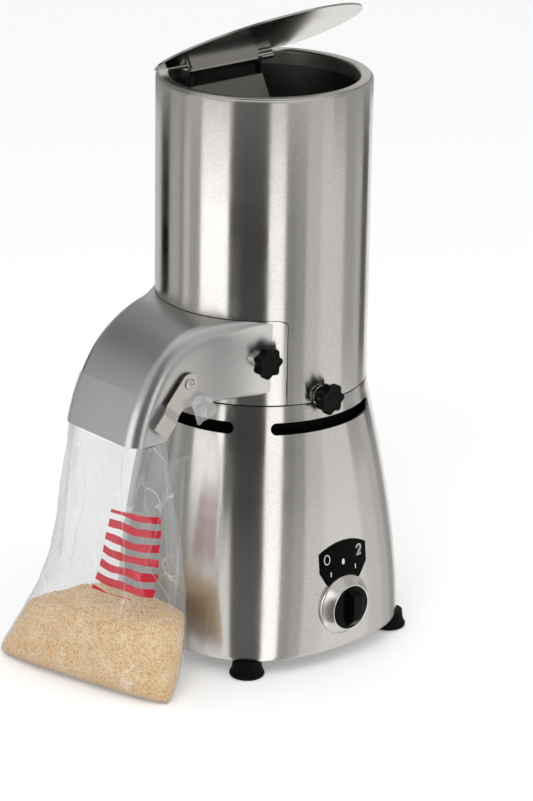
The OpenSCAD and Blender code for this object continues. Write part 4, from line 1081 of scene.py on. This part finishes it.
def make_tuft(name, side):
    """The bag's corner, twisted into a crumpled tuft beside the clip."""
    foot, tip = Vector((-139, -68, 270)), Vector((-127, -66, 297))
    way = (tip - foot).normalized()
    across = way.cross(Vector((0, 1, 0))).normalized()
    deep = way.cross(across)
    rows = []
    for j in range(31):
        t = j / 30
        radius = 1.6 + 10.5 * soft_step(t / 0.55) * math.sqrt(max(0.0, 1 - max(0.0, (t - 0.6) / 0.4) ** 2))
        row = []
        for i in range(72):
            a = 2 * math.pi * i / 72
            rough = noise.noise(Vector((math.cos(a) * 2, math.sin(a) * 2, t * 4)))
            crumple = 1 + 0.22 * math.sin(5 * a + 3 * t) + 0.5 * rough
            p = mix(foot, tip, t) + (across * math.cos(a) + deep * math.sin(a) * 0.55) * radius * crumple
            row.append((p.x, -side * p.y, p.z))
        rows.append(row)
    mesh = sheet_mesh(name, rows)
    tidy_mesh(mesh)
    return finished(name, mesh, "machine", "clear_film", material=CREASED_FILM, smooth_angle=30)


# Sharp creases on the bag: lists of (angle round the bag, height)
CREASES = {
    "crease_twist": [(-84, 262), (-92, 226), (-110, 184), (-128, 141)],
    "crease_lower": [(-128, 141), (-120, 128), (-104, 106), (-92, 80)],
    "crease_side": [(-98, 236), (-100, 190), (-104, 150), (-106, 112)],
    "crease_front": [(-150, 250), (-152, 200), (-149, 150), (-152, 96)],
    "crease_far": [(-196, 244), (-192, 190), (-198, 140), (-194, 92)],
}


def make_crease(name, points):
    """A narrow ridge in the film that catches the light."""
    rows = []
    for j in range(41):
        at = along([(a, z, 0) for a, z in points], j / 40)
        angle, z = math.radians(at.x), at.y
        point = bag_outline(z, angle, 0)
        centre = Vector((bag_level(z)[0], 0, z))
        out = (point - centre).normalized()
        side = out.cross(Vector((0, 0, 1))).normalized()
        base = point + out * (film_folds(point, angle, z) + 0.1)
        half = 1.3 * math.sin(math.pi * min(max(j / 40, 0.04), 0.96)) ** 0.5
        rows.append([base - side * half, base + out * 0.9, base + side * half])
    mesh = sheet_mesh(name, rows, False)
    return finished(name, mesh, "machine", "clear_film", material=CREASED_FILM, smooth_angle=20)


# Finish of the pieces that keep their construction shape

def dress_nodes():
    """Gives every construction piece its finish and softens the edges that show."""
    slots = {part["node"]: part["material_slot"] for part in frame["record"]["subparts"]}
    for name, piece in nodes.items():
        piece.data.materials.clear()
        piece.data.materials.append(MATERIALS[slots[name]])
    for name, width in (("hopper_tube", 0.25), ("door_panel", 0.25), ("lid", 0.35), ("bag_clip_near", 0.25),
                        ("bag_clip_far", 0.25), ("housing_washer", 0.3), ("rear_bridge", 0.2)):
        bevel = nodes[name].modifiers.new("soft_edges", "BEVEL")
        bevel.width = width * MM
        bevel.segments = 2
        bevel.limit_method = "ANGLE"
        bevel.angle_limit = math.radians(50)


set_up_camera()
lay_floor()
stand_cards()
light_studio()
dress_nodes()
make_base_shell()
make_seam_shade_ring()
make_chute()
make_star_knob("door_star_knob_near", "door_knob_near", -1, 4.7)
make_star_knob("door_star_knob_far", "door_knob_far", 1, 4.7)
make_star_knob("housing_star_knob", "housing_knob", -1, 5.3)
make_bezel()
make_switch()
make_plate()
make_bag()
make_crumbs()
make_neck()
for end, side in (("near", -1), ("far", 1)):
    make_fin(f"film_fin_{end}", side)
    make_tuft(f"film_tuft_{end}", side)
for crease, points in CREASES.items():
    make_crease(f"film_{crease}", points)
